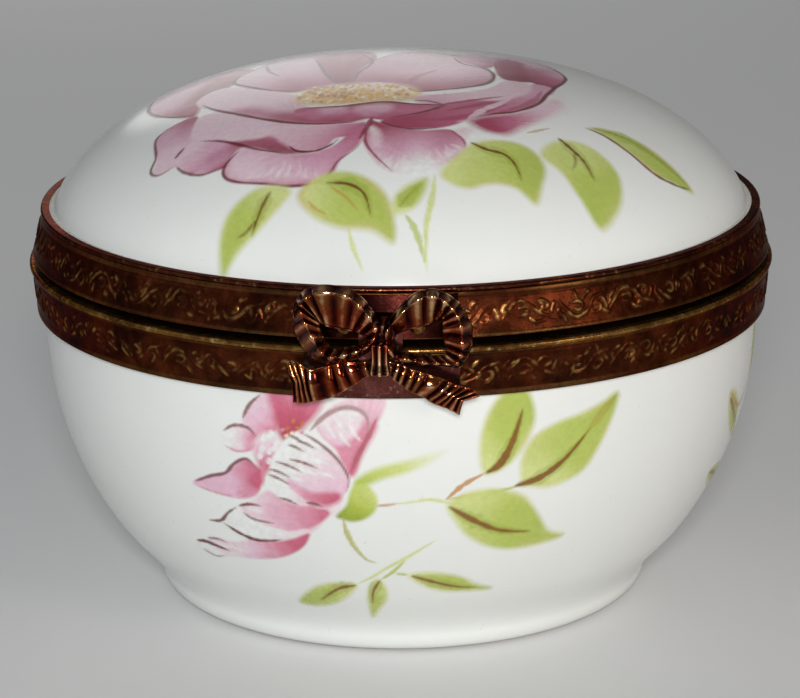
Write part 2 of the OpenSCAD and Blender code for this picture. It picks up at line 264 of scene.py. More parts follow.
class Canvas:
    """A painted surface. Every point has a place on the flat of the design, a colour,
    and a film thickness of enamel. Each mark takes its own seed from the running count."""

    def __init__(self, places, ground):
        self.p = np.asarray(places, float)
        self.rgb = np.tile(ground, (len(self.p), 1))
        self.film = np.zeros(len(self.p))
        self.count = 0

    def near(self, line, margin):
        """Which places could be touched by a mark on this line."""
        lo, hi = line.min(0) - margin, line.max(0) + margin
        p = self.p
        return np.where((p[:, 0] > lo[0]) & (p[:, 0] < hi[0])
                        & (p[:, 1] > lo[1]) & (p[:, 1] < hi[1]))[0]

    @staticmethod
    def distance(p, line):
        """Distance to a line, and how far along it the nearest place is, from 0 to 1."""
        best = np.full(len(p), 1e9)
        along = np.zeros(len(p))
        seg = np.diff(line, axis=0)
        length = np.maximum(np.hypot(seg[:, 0], seg[:, 1]), 1e-9)
        start = np.concatenate([[0], np.cumsum(length)])
        for k in range(len(seg)):
            d = p - line[k]
            t = np.clip((d @ seg[k]) / length[k] ** 2, 0, 1)
            q = d - t[:, None] * seg[k]
            dist = np.hypot(q[:, 0], q[:, 1])
            closer = dist < best
            best[closer] = dist[closer]
            along[closer] = (start[k] + t[closer] * length[k]) / start[-1]
        return best, along

    @staticmethod
    def inside(p, outline):
        """Whether each place is inside a closed outline, by counting crossings."""
        hit = np.zeros(len(p), bool)
        x, y = p[:, 0], p[:, 1]
        for (x0, y0), (x1, y1) in zip(outline, np.roll(outline, -1, axis=0)):
            if y0 == y1:
                continue
            crosses = (y0 > y) != (y1 > y)
            hit ^= crosses & (x < (x1 - x0) * (y - y0) / (y1 - y0) + x0)
        return hit

    def lay(self, idx, cover, rgb, film):
        """Puts colour over what is there, and enamel where it is thicker."""
        cover = np.clip(cover, 0, 1)[:, None]
        self.rgb[idx] = self.rgb[idx] * (1 - cover) + rgb * cover
        self.film[idx] = np.maximum(self.film[idx], film * cover[:, 0])

    def petal(self, outline, root, tip, root_colour, mid_colour, tip_colour,
              soft=BRUSH_EDGE, cover=1.0, streak=0.07, rim=None, film=0.6):
        """A washed shape, shaded from root to tip with brush streaks that fan out
        from the root. rim is a paler or darker edge."""
        self.count += 1
        line = smooth_line(outline, closed=True)
        idx = self.near(line, 3 * soft)
        if not len(idx):
            return
        p = self.p[idx]
        edge, _ = self.distance(p, np.vstack([line, line[:1]]))
        edge = np.where(self.inside(p, line), edge, -edge)
        root, tip = np.asarray(root, float), np.asarray(tip, float)
        axis = tip - root
        reach = math.hypot(*axis)
        t = ((p - root) @ axis) / reach ** 2
        fan = np.arctan2(p[:, 1] - root[1], p[:, 0] - root[0])
        r = np.random.default_rng(100 + self.count)
        lines = sum(np.sin(fan * k + r.uniform(0, 6.3)) for k in r.uniform(22, 70, 5)) / 3
        t = t + streak * lines * np.clip(t, 0.15, 0.8)
        t = t + MOTTLING * waves(p, reach * 0.5, self.count)
        t = np.clip(t, 0, 1)[:, None]
        first = np.clip(t * 2, 0, 1)
        second = np.clip(t * 2 - 1, 0, 1)
        rgb = root_colour * (1 - first) + mid_colour * first
        rgb = rgb * (1 - second) + tip_colour * second
        if rim is not None:
            patchy = np.clip(0.45 + 0.6 * waves(p, 5, 40 + self.count), 0, 1)
            ring = (np.exp(-(np.maximum(edge, 0) / RIM_WIDTH) ** 2) * patchy)[:, None]
            rgb = rgb * (1 - ring) + rim * ring
        alpha = cover * np.clip(edge / soft * 0.5 + 0.5, 0, 1)
        self.lay(idx, alpha, rgb, film)

    def stroke(self, points, width, colour, cover=0.95, taper=(0.35, 0.5), film=0.8,
               wobble=0.18):
        """A brush line: it swells and thins, and its two ends taper."""
        self.count += 1
        line = smooth_line(points)
        idx = self.near(line, width)
        if not len(idx):
            return
        p = self.p[idx]
        dist, along = self.distance(p, line)
        start = np.clip(along / taper[0], 0, 1) ** 0.6
        end = np.clip((1 - along) / taper[1], 0, 1) ** 0.6
        half = width / 2 * np.minimum(start, end)
        half = half * (1 + wobble * waves(np.stack([along * 9, along * 3], -1), 1.3, self.count))
        alpha = cover * np.clip((half - dist) / BRUSH_EDGE + 0.5, 0, 1)
        alpha = alpha * np.clip(half / (BRUSH_EDGE / 2), 0, 1)
        self.lay(idx, alpha, colour, film)

    def hatch(self, start, end, inward, count, width, colour, cover=0.7):
        """A row of short brush strokes from one line towards another point."""
        start, end, inward = (np.asarray(v, float) for v in (start, end, inward))
        r = np.random.default_rng(500 + self.count)
        for k in range(count):
            s = (k + r.uniform(0.1, 0.9)) / count
            a = start + (end - start) * s
            step = (inward - a) * r.uniform(0.14, 0.42)
            bend = np.array([-step[1], step[0]]) * r.uniform(-0.2, 0.2)
            self.stroke([a, a + step * 0.5 + bend, a + step], width * r.uniform(0.6, 1.3),
                        colour, cover * r.uniform(0.6, 1), (0.2, 0.8))

    def dabs(self, centre, size, count, colours, length, width):
        """A cluster of short dabs filling an oval, as for stamens."""
        r = np.random.default_rng(900 + self.count)
        for k in range(count):
            a, q = r.uniform(0, 2 * math.pi), math.sqrt(r.uniform(0, 1))
            x = centre[0] + size[0] * q * math.cos(a)
            y = centre[1] + size[1] * q * math.sin(a)
            lean = r.normal(0, 0.35)
            dx, dy = length * math.sin(lean) / 2, length * math.cos(lean) / 2
            self.stroke([(x - dx, y - dy), (x + dx * 0.4, y), (x + dx, y + dy)],
                        width * r.uniform(0.7, 1.4), colours[k % len(colours)], 0.85,
                        (0.4, 0.4))

    def leaf(self, outline, vein, root, tip, warm=0.4, vein_colour=None, vein_width=0.42):
        """A leaf: a green wash, paler at the root, with an ochre rim and an umber vein."""
        side = LEAF * 0.7 + LEAF_DARK * 0.3
        self.petal(outline, root, tip, LEAF_LIGHT, LEAF, side, 0.34, 0.95, 0.1,
                   rim=LEAF_LIGHT * (1 - 0.6 * warm) + OCHRE * 0.6 * warm, film=0.4)
        self.stroke(vein, 1.6, LEAF_DARK, 0.4, (0.3, 0.7), 0.3)
        self.stroke(vein, vein_width * 0.85, UMBER if vein_colour is None else vein_colour,
                    0.9, (0.2, 0.7))


def paint_lid(c):
    """The open pink flower, seen from above, with its leaves. The design is drawn on the
    lid's plan: x to the right, y towards the hinge."""
    pale, lilac, pink, rose, deep = (linear(v) for v in (
        (228, 200, 210), (212, 164, 184), (191, 112, 140), (163, 70, 95), (138, 44, 66)))
    # Faint bloom of colour beyond the right-hand petals
    c.petal([(13, -17), (16, -13.5), (18.5, -9), (18.3, -5), (16.8, -6), (15.5, -10)],
            (14, -12), (19, -9), pink, pale, WHITE, 0.9, 0.55, film=0)
    # Outer petals at the back
    c.petal([(-20.5, -11), (-23.5, -8), (-25.3, -5), (-26.3, -1), (-26.4, 2.5), (-24.6, 5.4),
             (-21, 6.4), (-17.6, 5.6), (-15.6, 3), (-16, 0), (-17.6, -4), (-19.6, -7)],
            (-18, -3), (-25.5, 3), rose, lilac, pale, 0.3)
    c.petal([(-21.5, -6), (-20.8, -1), (-19.5, 2.5), (-17.4, 1.5), (-17, -2), (-18.5, -4.2)],
            (-18.4, -1.5), (-20.5, 4), deep, rose, pink, 0.7, 0.9)
    c.petal([(9.5, 6.5), (9.8, 1), (10.4, -3.5), (12, -5.2), (14, -4.6), (15.6, -8),
             (16.5, -5), (17.3, -1), (17, 2.8), (15.3, 6.4), (12.4, 8.2)],
            (11.6, -3), (16, 4), deep, pink, pale)
    c.petal([(10.2, 4), (10.4, -2), (11.2, -4.6), (13.5, -4.4), (13.2, 0), (13, 4.5),
             (11.4, 6)], (11.6, -3), (12, 7), deep, rose, pink, 0.5, 0.85)
    c.petal([(5, 5), (6.3, 1.4), (8.8, -0.4), (10, 1.5), (9.8, 5.5), (7.5, 8)],
            (8, 0), (7.5, 8), rose, lilac, pale)
    c.petal([(-14.5, 4.5), (-12.5, 8.2), (-9.2, 9.6), (-7, 7.6), (-8, 3), (-11, 2)],
            (-10, 2), (-10.5, 9.5), rose, lilac, pale)
    # Inner back petals
    c.petal([(-8.6, 6), (-8.4, 0), (-7.4, -5), (-6.2, -8.2), (-4, -8.2), (-3.6, -3),
             (-2.6, 2.6), (-3.2, 7.4), (-5.8, 9)], (-5.4, -8.5), (-5.5, 9), deep, rose, lilac)
    c.petal([(-4, -8.2), (-4, -3.5), (-3.1, 1), (-1.5, 5.4), (1.8, 8.2), (5, 6.8),
             (6.4, 2.6), (9, -0.6), (10, -3.4), (9.5, -6.6), (7, -9.2), (2.6, -11.2),
             (0.5, -9), (-2, -7.9)], (-0.5, -10.5), (3.4, 5.5), rose, lilac, pale)
    c.petal([(-3.9, -8), (-3.9, -4), (-2, -1.5), (0, -3), (1.4, -7.5), (-1, -8)],
            (-2.4, -8.5), (-1, -1), rose, pink, lilac, 1.2, 0.75)
    c.petal([(-10.4, -9.8), (-13, -8.2), (-15.8, -5.4), (-17.1, -2.2), (-16.8, 0.6),
             (-15.2, 3.2), (-13, 6.2), (-10.2, 7), (-9, 4), (-8.2, -0.5), (-7.2, -4.5),
             (-6.2, -8.2), (-8, -9.2)], (-8, -9.5), (-13.5, 2.5), rose, lilac, pale)
    c.stroke([(1.4, -8), (2.4, -5.2), (4.2, -2.4)], 0.9, rose, 0.75, (0.2, 0.8))
    c.stroke([(-14.3, 4.2), (-13.6, 0.2), (-12.2, -3.2)], 0.5, MAROON, 0.8, (0.3, 0.8))
    # Long petals that sweep round each side of the stamens
    c.petal([(-20.2, -8.4), (-20.6, -6.4), (-19.6, -4.4), (-18, -3.8), (-16.4, -4.8),
             (-14, -7.6), (-11, -9.8), (-9.4, -12), (-8.4, -14.6), (-5, -15.2), (-3.4, -18.6),
             (-6, -19), (-9.5, -18), (-13, -15.8), (-16.5, -12.8), (-19, -10)],
            (-9, -19), (-15, -8.5), pink, pale, pale)
    c.petal([(-17, -12.6), (-14.4, -12.4), (-11.6, -14.8), (-8.6, -15.6), (-4, -16.4),
             (-3, -18.8), (-7, -18.8), (-11, -17.4), (-14.5, -14.8)],
            (-7, -19), (-8, -13.5), rose, rose, pink, 0.7, 0.8)
    c.petal([(-0.8, -19.5), (-0.4, -18.4), (2, -17.4), (4.4, -15.8), (5, -14.8), (8, -12.8),
             (11, -10.8), (13.3, -8.4), (14, -5.2), (16, -5.4), (15.5, -9), (14.2, -12),
             (12, -14.6), (9, -16.4), (7.4, -18.2), (5.4, -19.8), (2, -20.4)],
            (2, -20.5), (14, -6), rose, pink, lilac)
    c.stroke([(2.4, -18.8), (6, -17.9), (9.2, -15.6), (11.6, -12.8)], 0.8, rose, 0.7, (0.4, 0.5))
    c.stroke([(5.4, -16.2), (8.6, -14), (11.4, -11.2), (13.2, -8)], 0.7, deep, 0.55, (0.3, 0.5))
    c.stroke([(9.4, -16.6), (12.4, -13.8), (14.2, -10.6), (15, -7)], 0.9, rose, 0.6, (0.4, 0.4))
    c.stroke([(6.4, -18.6), (8.8, -17.2), (11.4, -15)], 0.5, pale, 0.6, (0.4, 0.5))
    c.petal([(2.4, -12.4), (6, -11), (9.4, -8.6), (10.8, -5.6), (12.6, -5), (13.9, -6.4),
             (13.4, -9), (11, -12), (8, -13), (5, -14.8), (2.4, -14.2)],
            (3.5, -14.5), (12, -6), lilac, pale, pale, 0.3)
    c.stroke([(7.4, -18.4), (9, -15.4), (11, -12.6), (12.4, -9.6)], 0.8, pale, 0.85, (0.3, 0.5))
    c.stroke([(4.6, -15), (8, -12.9), (11.4, -10.6)], 0.55, rose, 0.9, (0.2, 0.6))
    # Front fold under the stamens
    c.petal([(-9.4, -14.8), (-5, -15.1), (-1, -14.2), (2.5, -14.7), (5.2, -14.8),
             (4.2, -16.2), (1.8, -17.8), (-0.6, -18.7), (-2.2, -18.4), (-4.2, -18.9),
             (-7.2, -18.2), (-9.4, -16.6)], (-2, -19), (-2, -14), rose, pink, rose)
    c.petal([(-7.1, -15.5), (-4.8, -15.3), (-4.6, -16.8), (-6.6, -17.4)], (-6, -17.6),
            (-6, -15), pink, lilac, pale, 0.5, 0.7)
    c.petal([(-3.6, -15.6), (-0.4, -15), (0, -16.4), (-1.4, -18), (-3, -17.6)], (-2, -18.2),
            (-2, -15), pink, lilac, pale, 0.45, 0.75)
    # Outer petals at the front
    c.petal([(-20.2, -11), (-22.6, -11.4), (-24, -13), (-24.1, -15.5), (-23.6, -18),
             (-23.6, -19.8), (-22.2, -20.5), (-20.6, -20), (-20, -17), (-19.9, -13.5)],
            (-20, -11.5), (-22.6, -17.5), rose, lilac, pale)
    c.petal([(-21.2, -20), (-20.8, -17.6), (-18.5, -17.4), (-16, -19), (-14.4, -21),
             (-15.6, -23.3), (-18, -23.3), (-20, -22.2)], (-15, -22.6), (-20.4, -18.6),
            rose, lilac, pale)
    c.petal([(-20, -12.2), (-18.4, -11.4), (-16.4, -13), (-13, -16), (-9, -18.7),
             (-4, -19.3), (-2.4, -19.2), (-3.2, -21.5), (-5.2, -22), (-6.2, -23.4),
             (-8.4, -23.7), (-10.4, -22.8), (-12.6, -21.6), (-15, -19.8), (-17, -18.2),
             (-20, -17.4)], (-2.6, -21), (-17, -13.5), pink, pale, pale)
    c.petal([(-15.8, -19.6), (-13.2, -20), (-11.8, -20), (-10.6, -21.6), (-9, -23.4),
             (-7.8, -24), (-10.5, -23.6), (-13.4, -21.8)], (-13, -22), (-12, -19.6),
            deep, rose, pink, 0.3, 0.9)
    c.petal([(-16.1, -23.3), (-14.8, -21), (-12.8, -21.8), (-10.4, -23.6), (-8, -24.1),
             (-5.6, -23.4), (-4, -21.4), (-2.7, -19.4), (-2.4, -21), (-3, -23.5),
             (-4.5, -25.5), (-5.3, -27.6), (-7, -28.4), (-9.5, -28.2), (-12.5, -27),
             (-15, -26), (-16.2, -24.6)], (-3.5, -20.5), (-12.5, -26.5), pink, lilac, pale,
            rim=pink)
    c.petal([(-1.8, -18.8), (0, -19.9), (3, -20.7), (6, -20.2), (7.4, -21.6), (7.7, -23),
             (6.6, -25.3), (4.4, -27.2), (1.5, -27.9), (-0.6, -26.8), (-2, -24.4),
             (-2.6, -22), (-2.2, -20)], (2, -19.4), (3, -27.6), rose, lilac, WHITE,
            streak=0.05)
    c.petal([(-2, -20), (-0.9, -21), (-0.7, -23.6), (-1.6, -23.4)], (-1, -24), (-1.6, -19.8),
            pale, pale, WHITE, 0.35, 0.85)
    c.petal([(7.9, -18.2), (9, -16.8), (12, -14.9), (14.4, -12.2), (16.4, -9.2),
             (17, -11), (15, -14.6), (13, -18), (11.4, -19.8), (9.4, -19.7)],
            (8.8, -18.2), (15, -13), rose, pink, pale, 0.6)
    c.petal([(6.6, -20.4), (8, -19.4), (9.4, -20), (11.8, -20.3), (9.8, -21.4),
             (8, -22.2)], (7, -20), (10, -21.5), pale, WHITE, WHITE, 0.3)
    # Feathered white edges
    c.hatch((-14.4, -25.8), (-6.2, -28), (-8.5, -21.5), 16, 0.34, WHITE, 0.4)
    c.hatch((-0.6, -26.6), (2.6, -27.8), (2.2, -20), 9, 0.5, WHITE, 0.6)
    c.hatch((3.6, -27.4), (7.4, -23.6), (3, -20.6), 10, 0.5, WHITE, 0.55)
    c.hatch((-23.4, -13), (-23, -19.4), (-18, -15), 8, 0.3, pale, 0.5)
    c.hatch((-19, -16.8), (-11.4, -20.2), (-10, -15), 9, 0.4, pale, 0.6)
    c.hatch((-16.4, 0), (-11, 6.4), (-8, -6), 9, 0.4, pale, 0.5)
    c.hatch((0, 6), (8.8, -1.6), (0, -8), 11, 0.4, pale, 0.5)
    # Stamens
    c.petal([(-10.2, -11.5), (-8.4, -8.9), (-3.6, -8), (1.2, -9), (2.7, -11.6), (1.4, -13.9),
              (-4, -14.6), (-8.6, -14)], (-4, -15), (-4, -8), OCHRE * 0.8 + CREAM * 0.2,
            GOLD * 0.7 + CREAM * 0.3, pale, 0.6, 0.85)
    c.dabs((-3.8, -11.3), (6.1, 2.7), 190, (GOLD, CREAM, OCHRE, OCHRE * 0.8, GOLD, GOLD), 1.0, 0.38)
    c.dabs((-3.8, -9.2), (5.2, 0.8), 26, (CREAM, GOLD), 0.6, 0.46)
    # Drawn lines
    c.stroke([(-20.2, -10.8), (-22.5, -9.2), (-24.8, -6.2), (-26, -3), (-26.3, 1),
              (-25.8, 4), (-24, 6)], 0.38, MAROON, 0.9, (0.15, 0.5))
    c.stroke([(-20, -8), (-18.3, -10.8), (-16, -13.3), (-13, -16), (-10, -17.9),
              (-7, -18.9), (-3.2, -19.1)], 0.43, MAROON, 0.95, (0.25, 0.35))
    c.stroke([(-10, -9.5), (-12.5, -8.3), (-15, -5.8), (-16.9, -3), (-17, -0.5),
              (-15.6, 2.3), (-14.6, 4.8)], 0.43, MAROON, 0.95, (0.3, 0.4))
    c.stroke([(-9.2, 5), (-8.2, 0), (-7.4, -4), (-6.2, -7.8)], 0.41, MAROON, 0.85, (0.5, 0.3))
    c.stroke([(-4.4, 6.8), (-3, 2.5), (-3.1, -0.6), (-4, -4), (-4.2, -7.4)], 0.41, MAROON,
             0.85, (0.4, 0.3))
    c.stroke([(-1.2, 5.6), (-2.3, 3.4), (-3.1, 0.6)], 0.32, deep, 0.7, (0.6, 0.2))
    c.stroke([(5.4, 5), (6.6, 1.2), (9, -0.8), (9.9, -3.6), (9.4, -6.8), (7, -9.2),
              (4, -10.7), (2.2, -11.3)], 0.43, MAROON, 0.95, (0.3, 0.3))
    c.stroke([(-9.2, -14.8), (-5, -15.1), (-1, -14.3), (2, -14.8), (5.4, -14.8)], 0.5,
             UMBER * 0.6 + MAROON * 0.4, 0.95, (0.3, 0.3))
    c.stroke([(2, -14), (3.6, -13.9), (5.6, -15)], 0.44, UMBER, 0.7, (0.4, 0.3))
    c.stroke([(5.4, -14.9), (3.4, -16.6), (1.6, -17.6), (-0.6, -18.4)], 0.34, MAROON, 0.9,
             (0.2, 0.6))
    c.stroke([(-1, -19.2), (0.6, -20.1), (2.8, -20.5), (5.6, -19.8)], 0.38, MAROON, 0.9,
             (0.25, 0.7))
    c.stroke([(8.2, -17.3), (10, -15.9), (12.4, -14.4), (14.6, -11.4), (15.5, -8),
              (16.3, -5), (17.2, -2), (17.3, 1), (16, 4.2), (13.6, 7.2)], 0.41, MAROON, 0.92,
             (0.15, 0.35))
    c.stroke([(10, 4), (10.1, 0.5), (10.6, -2.4)], 0.28, MAROON, 0.6)
    c.stroke([(-22.8, -11.2), (-24.1, -13.4), (-23.7, -17), (-24, -19.2), (-23, -20.4),
              (-21.2, -20.1)], 0.29, MAROON, 0.85, (0.2, 0.3))
    c.stroke([(-21.6, -19), (-21.1, -18.2), (-20.7, -17.6)], 0.34, MAROON, 0.9, (0.2, 0.3))
    c.stroke([(-21.4, -20.2), (-20.3, -21.9), (-18.4, -23.3), (-15.9, -23.3)], 0.29, MAROON,
             0.85, (0.2, 0.3))
    c.stroke([(-19.4, -17.3), (-17, -18.7), (-15, -20.3), (-13, -21.9), (-10.4, -23.4)],
             0.41, MAROON, 0.9, (0.5, 0.5))
    c.stroke([(-9.9, -22.2), (-9, -23.4), (-7.2, -23.8), (-5.7, -23.1), (-4.8, -21.9)],
             0.34, MAROON, 0.95, (0.25, 0.4))
    c.stroke([(-14.8, -21.3), (-16.1, -23.2), (-16, -24.8), (-14.4, -26.1), (-11.5, -27.3),
              (-9, -28.2), (-6.4, -28.2), (-5.4, -27), (-4.7, -25.6), (-3.2, -24),
              (-2.4, -22.2)], 0.29, MAROON, 0.85, (0.1, 0.3))
    c.stroke([(-1.8, -18), (-2.2, -20), (-2.9, -22.4)], 0.6, deep, 0.9, (0.2, 0.6))
    c.stroke([(-2.2, -20.4), (-2.2, -23), (-1, -25.4), (0.8, -27.6)], 0.29, deep, 0.85,
             (0.3, 0.5))
    c.stroke([(6, -20.3), (7.3, -21.8), (7.6, -23.4)], 0.29, deep, 0.7)
    # Leaves and stems
    c.leaf([(-15.6, -33.1), (-16, -31), (-15.2, -29), (-13, -27.6), (-11, -27.6),
            (-9.2, -28.6), (-10, -30), (-12, -31.6), (-14.2, -32.6)],
           [(-11.2, -28.2), (-12, -29.8), (-12.8, -32)], (-10, -29), (-15.6, -33), 0.2)
    c.stroke([(-12.3, -30.6), (-13.4, -31.4), (-14.4, -31.5)], 0.3, UMBER, 0.7)
    c.leaf([(-8.5, -29.3), (-6.6, -27.5), (-4, -27.2), (-1.2, -28.6), (0.6, -31),
            (1.1, -34.2), (-1.2, -33.4), (-4.2, -33), (-7, -31.6)],
           [(-5.8, -28.4), (-3.6, -28.8), (-2, -30), (-1.2, -32.4)], (-8, -28.6),
           (0.8, -33.6), 0.55)
    c.stroke([(-5.6, -28.7), (-3.7, -30.3), (-2, -32.3)], 0.3, OCHRE, 0.55, (0.3, 0.6), 0.4)
    c.stroke([(-7.5, -30), (-6.7, -31), (-5.2, -31.9)], 0.28, OCHRE, 0.55, (0.3, 0.6), 0.4)
    c.leaf([(0.9, -32), (1, -30.2), (2.4, -28.8), (4, -28), (3.9, -29.6), (2.8, -31.4)],
           [(1.4, -31.4), (2.6, -29.8), (3.6, -28.6)], (1, -32), (4, -28), 0.1, LEAF_DARK,
           0.3)
    c.leaf([(5.3, -27.2), (6.8, -24.4), (8.6, -22), (11.4, -20.9), (14, -21.4),
            (15.4, -23.6), (15.2, -26), (14.6, -28.4), (12.6, -27.4), (10.2, -27.6),
            (8.2, -28.6), (6.4, -28.4)],
           [(8, -22.1), (9.6, -22.9), (11.4, -23.2), (12.5, -24.4), (13.2, -26.4)],
           (7, -25), (15, -27), 0.45, None, 0.5)
    c.leaf([(15, -22), (15.8, -19.6), (17.6, -18.1), (20, -18), (22.4, -20), (23, -22.8),
            (22.4, -25.4), (20.8, -27.6), (18.8, -25.8), (17, -23.6)],
           [(16.6, -18.1), (18, -19.5), (19.3, -20.9), (20.3, -23)], (16, -20),
           (21, -27), 0.4, None, 0.5)
    c.stroke([(18.2, -20), (18.4, -21.4), (18, -23)], 0.3, UMBER, 0.6, (0.2, 0.7))
    c.leaf([(19.8, -14.2), (22, -13), (24.6, -12.8), (27.4, -13.6), (30.2, -15.3),
            (28.2, -16.6), (26.2, -17.1), (23.6, -15.8), (21.4, -14.8)],
           [(20, -13.9), (23.4, -13.5), (26.6, -14.2), (30, -15.3)], (20, -14), (30, -15.5),
           0.55, LEAF_DARK, 0.4)
    c.stroke([(19.2, -14.4), (21.2, -14.7), (23.6, -15.9), (26.2, -17.2), (28.4, -16.6),
              (30.2, -15.2)], 0.36, UMBER, 0.85, (0.15, 0.3))
    c.stroke([(13.4, -18.8), (14.6, -17.8), (16, -16.5)], 0.4, OCHRE, 0.6, (0.4, 0.5))
    c.stroke([(4.8, -27.4), (4.6, -30), (4.1, -33), (4.2, -36)], 0.6, LEAF_LIGHT, 0.85)
    c.stroke([(2, -32), (3, -33.2), (4.1, -35.4)], 0.6, LEAF, 0.75)
    c.stroke([(-3.4, -33), (-2.8, -34.6), (-1.8, -36)], 0.4, LEAF_LIGHT, 0.8)


def bowl_leaf(c, shape, place=flat, warm=0.3, vein_colour=SPRAY_VEIN, width=0.5):
    """A leaf on the bowl. Its shape is an outline, a vein, and its root and tip."""
    outline, vein, root, tip = shape
    root, tip = place([root, tip])
    c.leaf(place(outline), place(vein), root, tip, warm, vein_colour, width)


def paint_spray(c):
    """The leafy spray at the front of the base, right of its flower and below it."""
    def leaf(outline, vein, root, tip, warm=0.3, width=0.5):
        bowl_leaf(c, (outline, vein, root, tip), warm=warm, width=width)

    def stem(points, width=0.45, colour=LEAF):
        c.stroke(flat(points), width, colour, 0.85, (0.3, 0.4), 0.4)

    stem([(9.3, 20), (12, 21.6), (15.4, 22.8)], 0.5, OCHRE)
    stem([(9.3, 20.1), (14, 20.4), (18.4, 20.7), (22, 21.2)], 0.45)
    stem([(10.4, 19.6), (7.5, 20.1), (5, 20.2)], 0.35, LEAF_LIGHT)
    leaf([(15, 22.8), (14.3, 25.5), (15.2, 28.5), (17.5, 30.8), (20, 31.4), (22, 30.5),
          (22.8, 28), (21.5, 25.5), (19, 23.5), (16.8, 22.7)],
         [(15.3, 22.7), (17.5, 23.6), (19.3, 25.8), (20.9, 29.2)], (15.5, 23), (21, 31), 0.3,
         0.95)
    leaf([(21.3, 21.3), (20.8, 23.6), (22.5, 26), (26, 27.2), (30, 27.8), (34, 28.6),
          (37, 29.3), (36.2, 27), (34, 24), (31.4, 21.6), (27, 20.5), (23.6, 20.6)],
         [(20, 21), (24, 21.6), (27.5, 23), (30, 24.6), (32.2, 26.2)], (22, 22), (36.5, 29),
         0.35, 0.8)
    leaf([(9.6, 19.4), (12, 20.6), (15.5, 21), (19, 20.6), (22, 19.7), (24.5, 17.6),
          (27, 15.4), (30.2, 14.4), (26, 13.7), (21, 13.6), (16.5, 14.3), (13, 15.8),
          (11, 17.5)],
         [(9.8, 19.3), (13.5, 17.7), (17.5, 16.3), (20.5, 15.8), (24, 15.5)], (10.5, 19),
         (29, 14.5), 0.3, 0.75)
    c.stroke(flat([(31.6, 25.8), (34, 27.4), (36.8, 29.1)]), 1.0,
             OCHRE * 0.5 + LEAF_DARK * 0.5, 0.45, (0.4, 0.4), 0.3, 0.05)
    leaf([(-18, 6.3), (-16, 7.8), (-12.5, 9.3), (-8.5, 9.9), (-5.6, 9.7), (-7, 8.3),
          (-10, 6.9), (-14, 6.1)], [(-5.6, 9.6), (-9, 9), (-13.4, 7)], (-6, 9.5),
         (-17.5, 6.4), 0.3)
    leaf([(-2.8, 10), (-1.5, 10.5), (-0.3, 9.3), (-0.3, 7.7), (-1.8, 6.2), (-3.6, 4.8),
          (-4, 6.5), (-3.8, 8.5)], [(-1.3, 10.4), (-2.7, 8.8), (-3.2, 6.8)], (-1.6, 10),
         (-3.6, 5), 0.25, 0.42)
    leaf([(3.6, 11), (6, 11.4), (9.5, 11.2), (13, 10.5), (16, 9.4), (19, 8.6), (14, 8.5),
          (9.5, 8.8), (6, 9.7)], [(4, 11), (8, 10.1), (12, 9.3), (16.4, 8.9)], (4.5, 10.6),
         (18.5, 8.7), 0.3)
    stem([(-5.6, 9.7), (-2.6, 10.8), (0, 12), (3.5, 13.4), (8.5, 15.6)], 0.4, LEAF_LIGHT)
    stem([(-1.3, 10.4), (0.8, 11.4), (3.2, 13)], 0.4)
    stem([(1.4, 11.3), (3.6, 11.1)], 0.35)


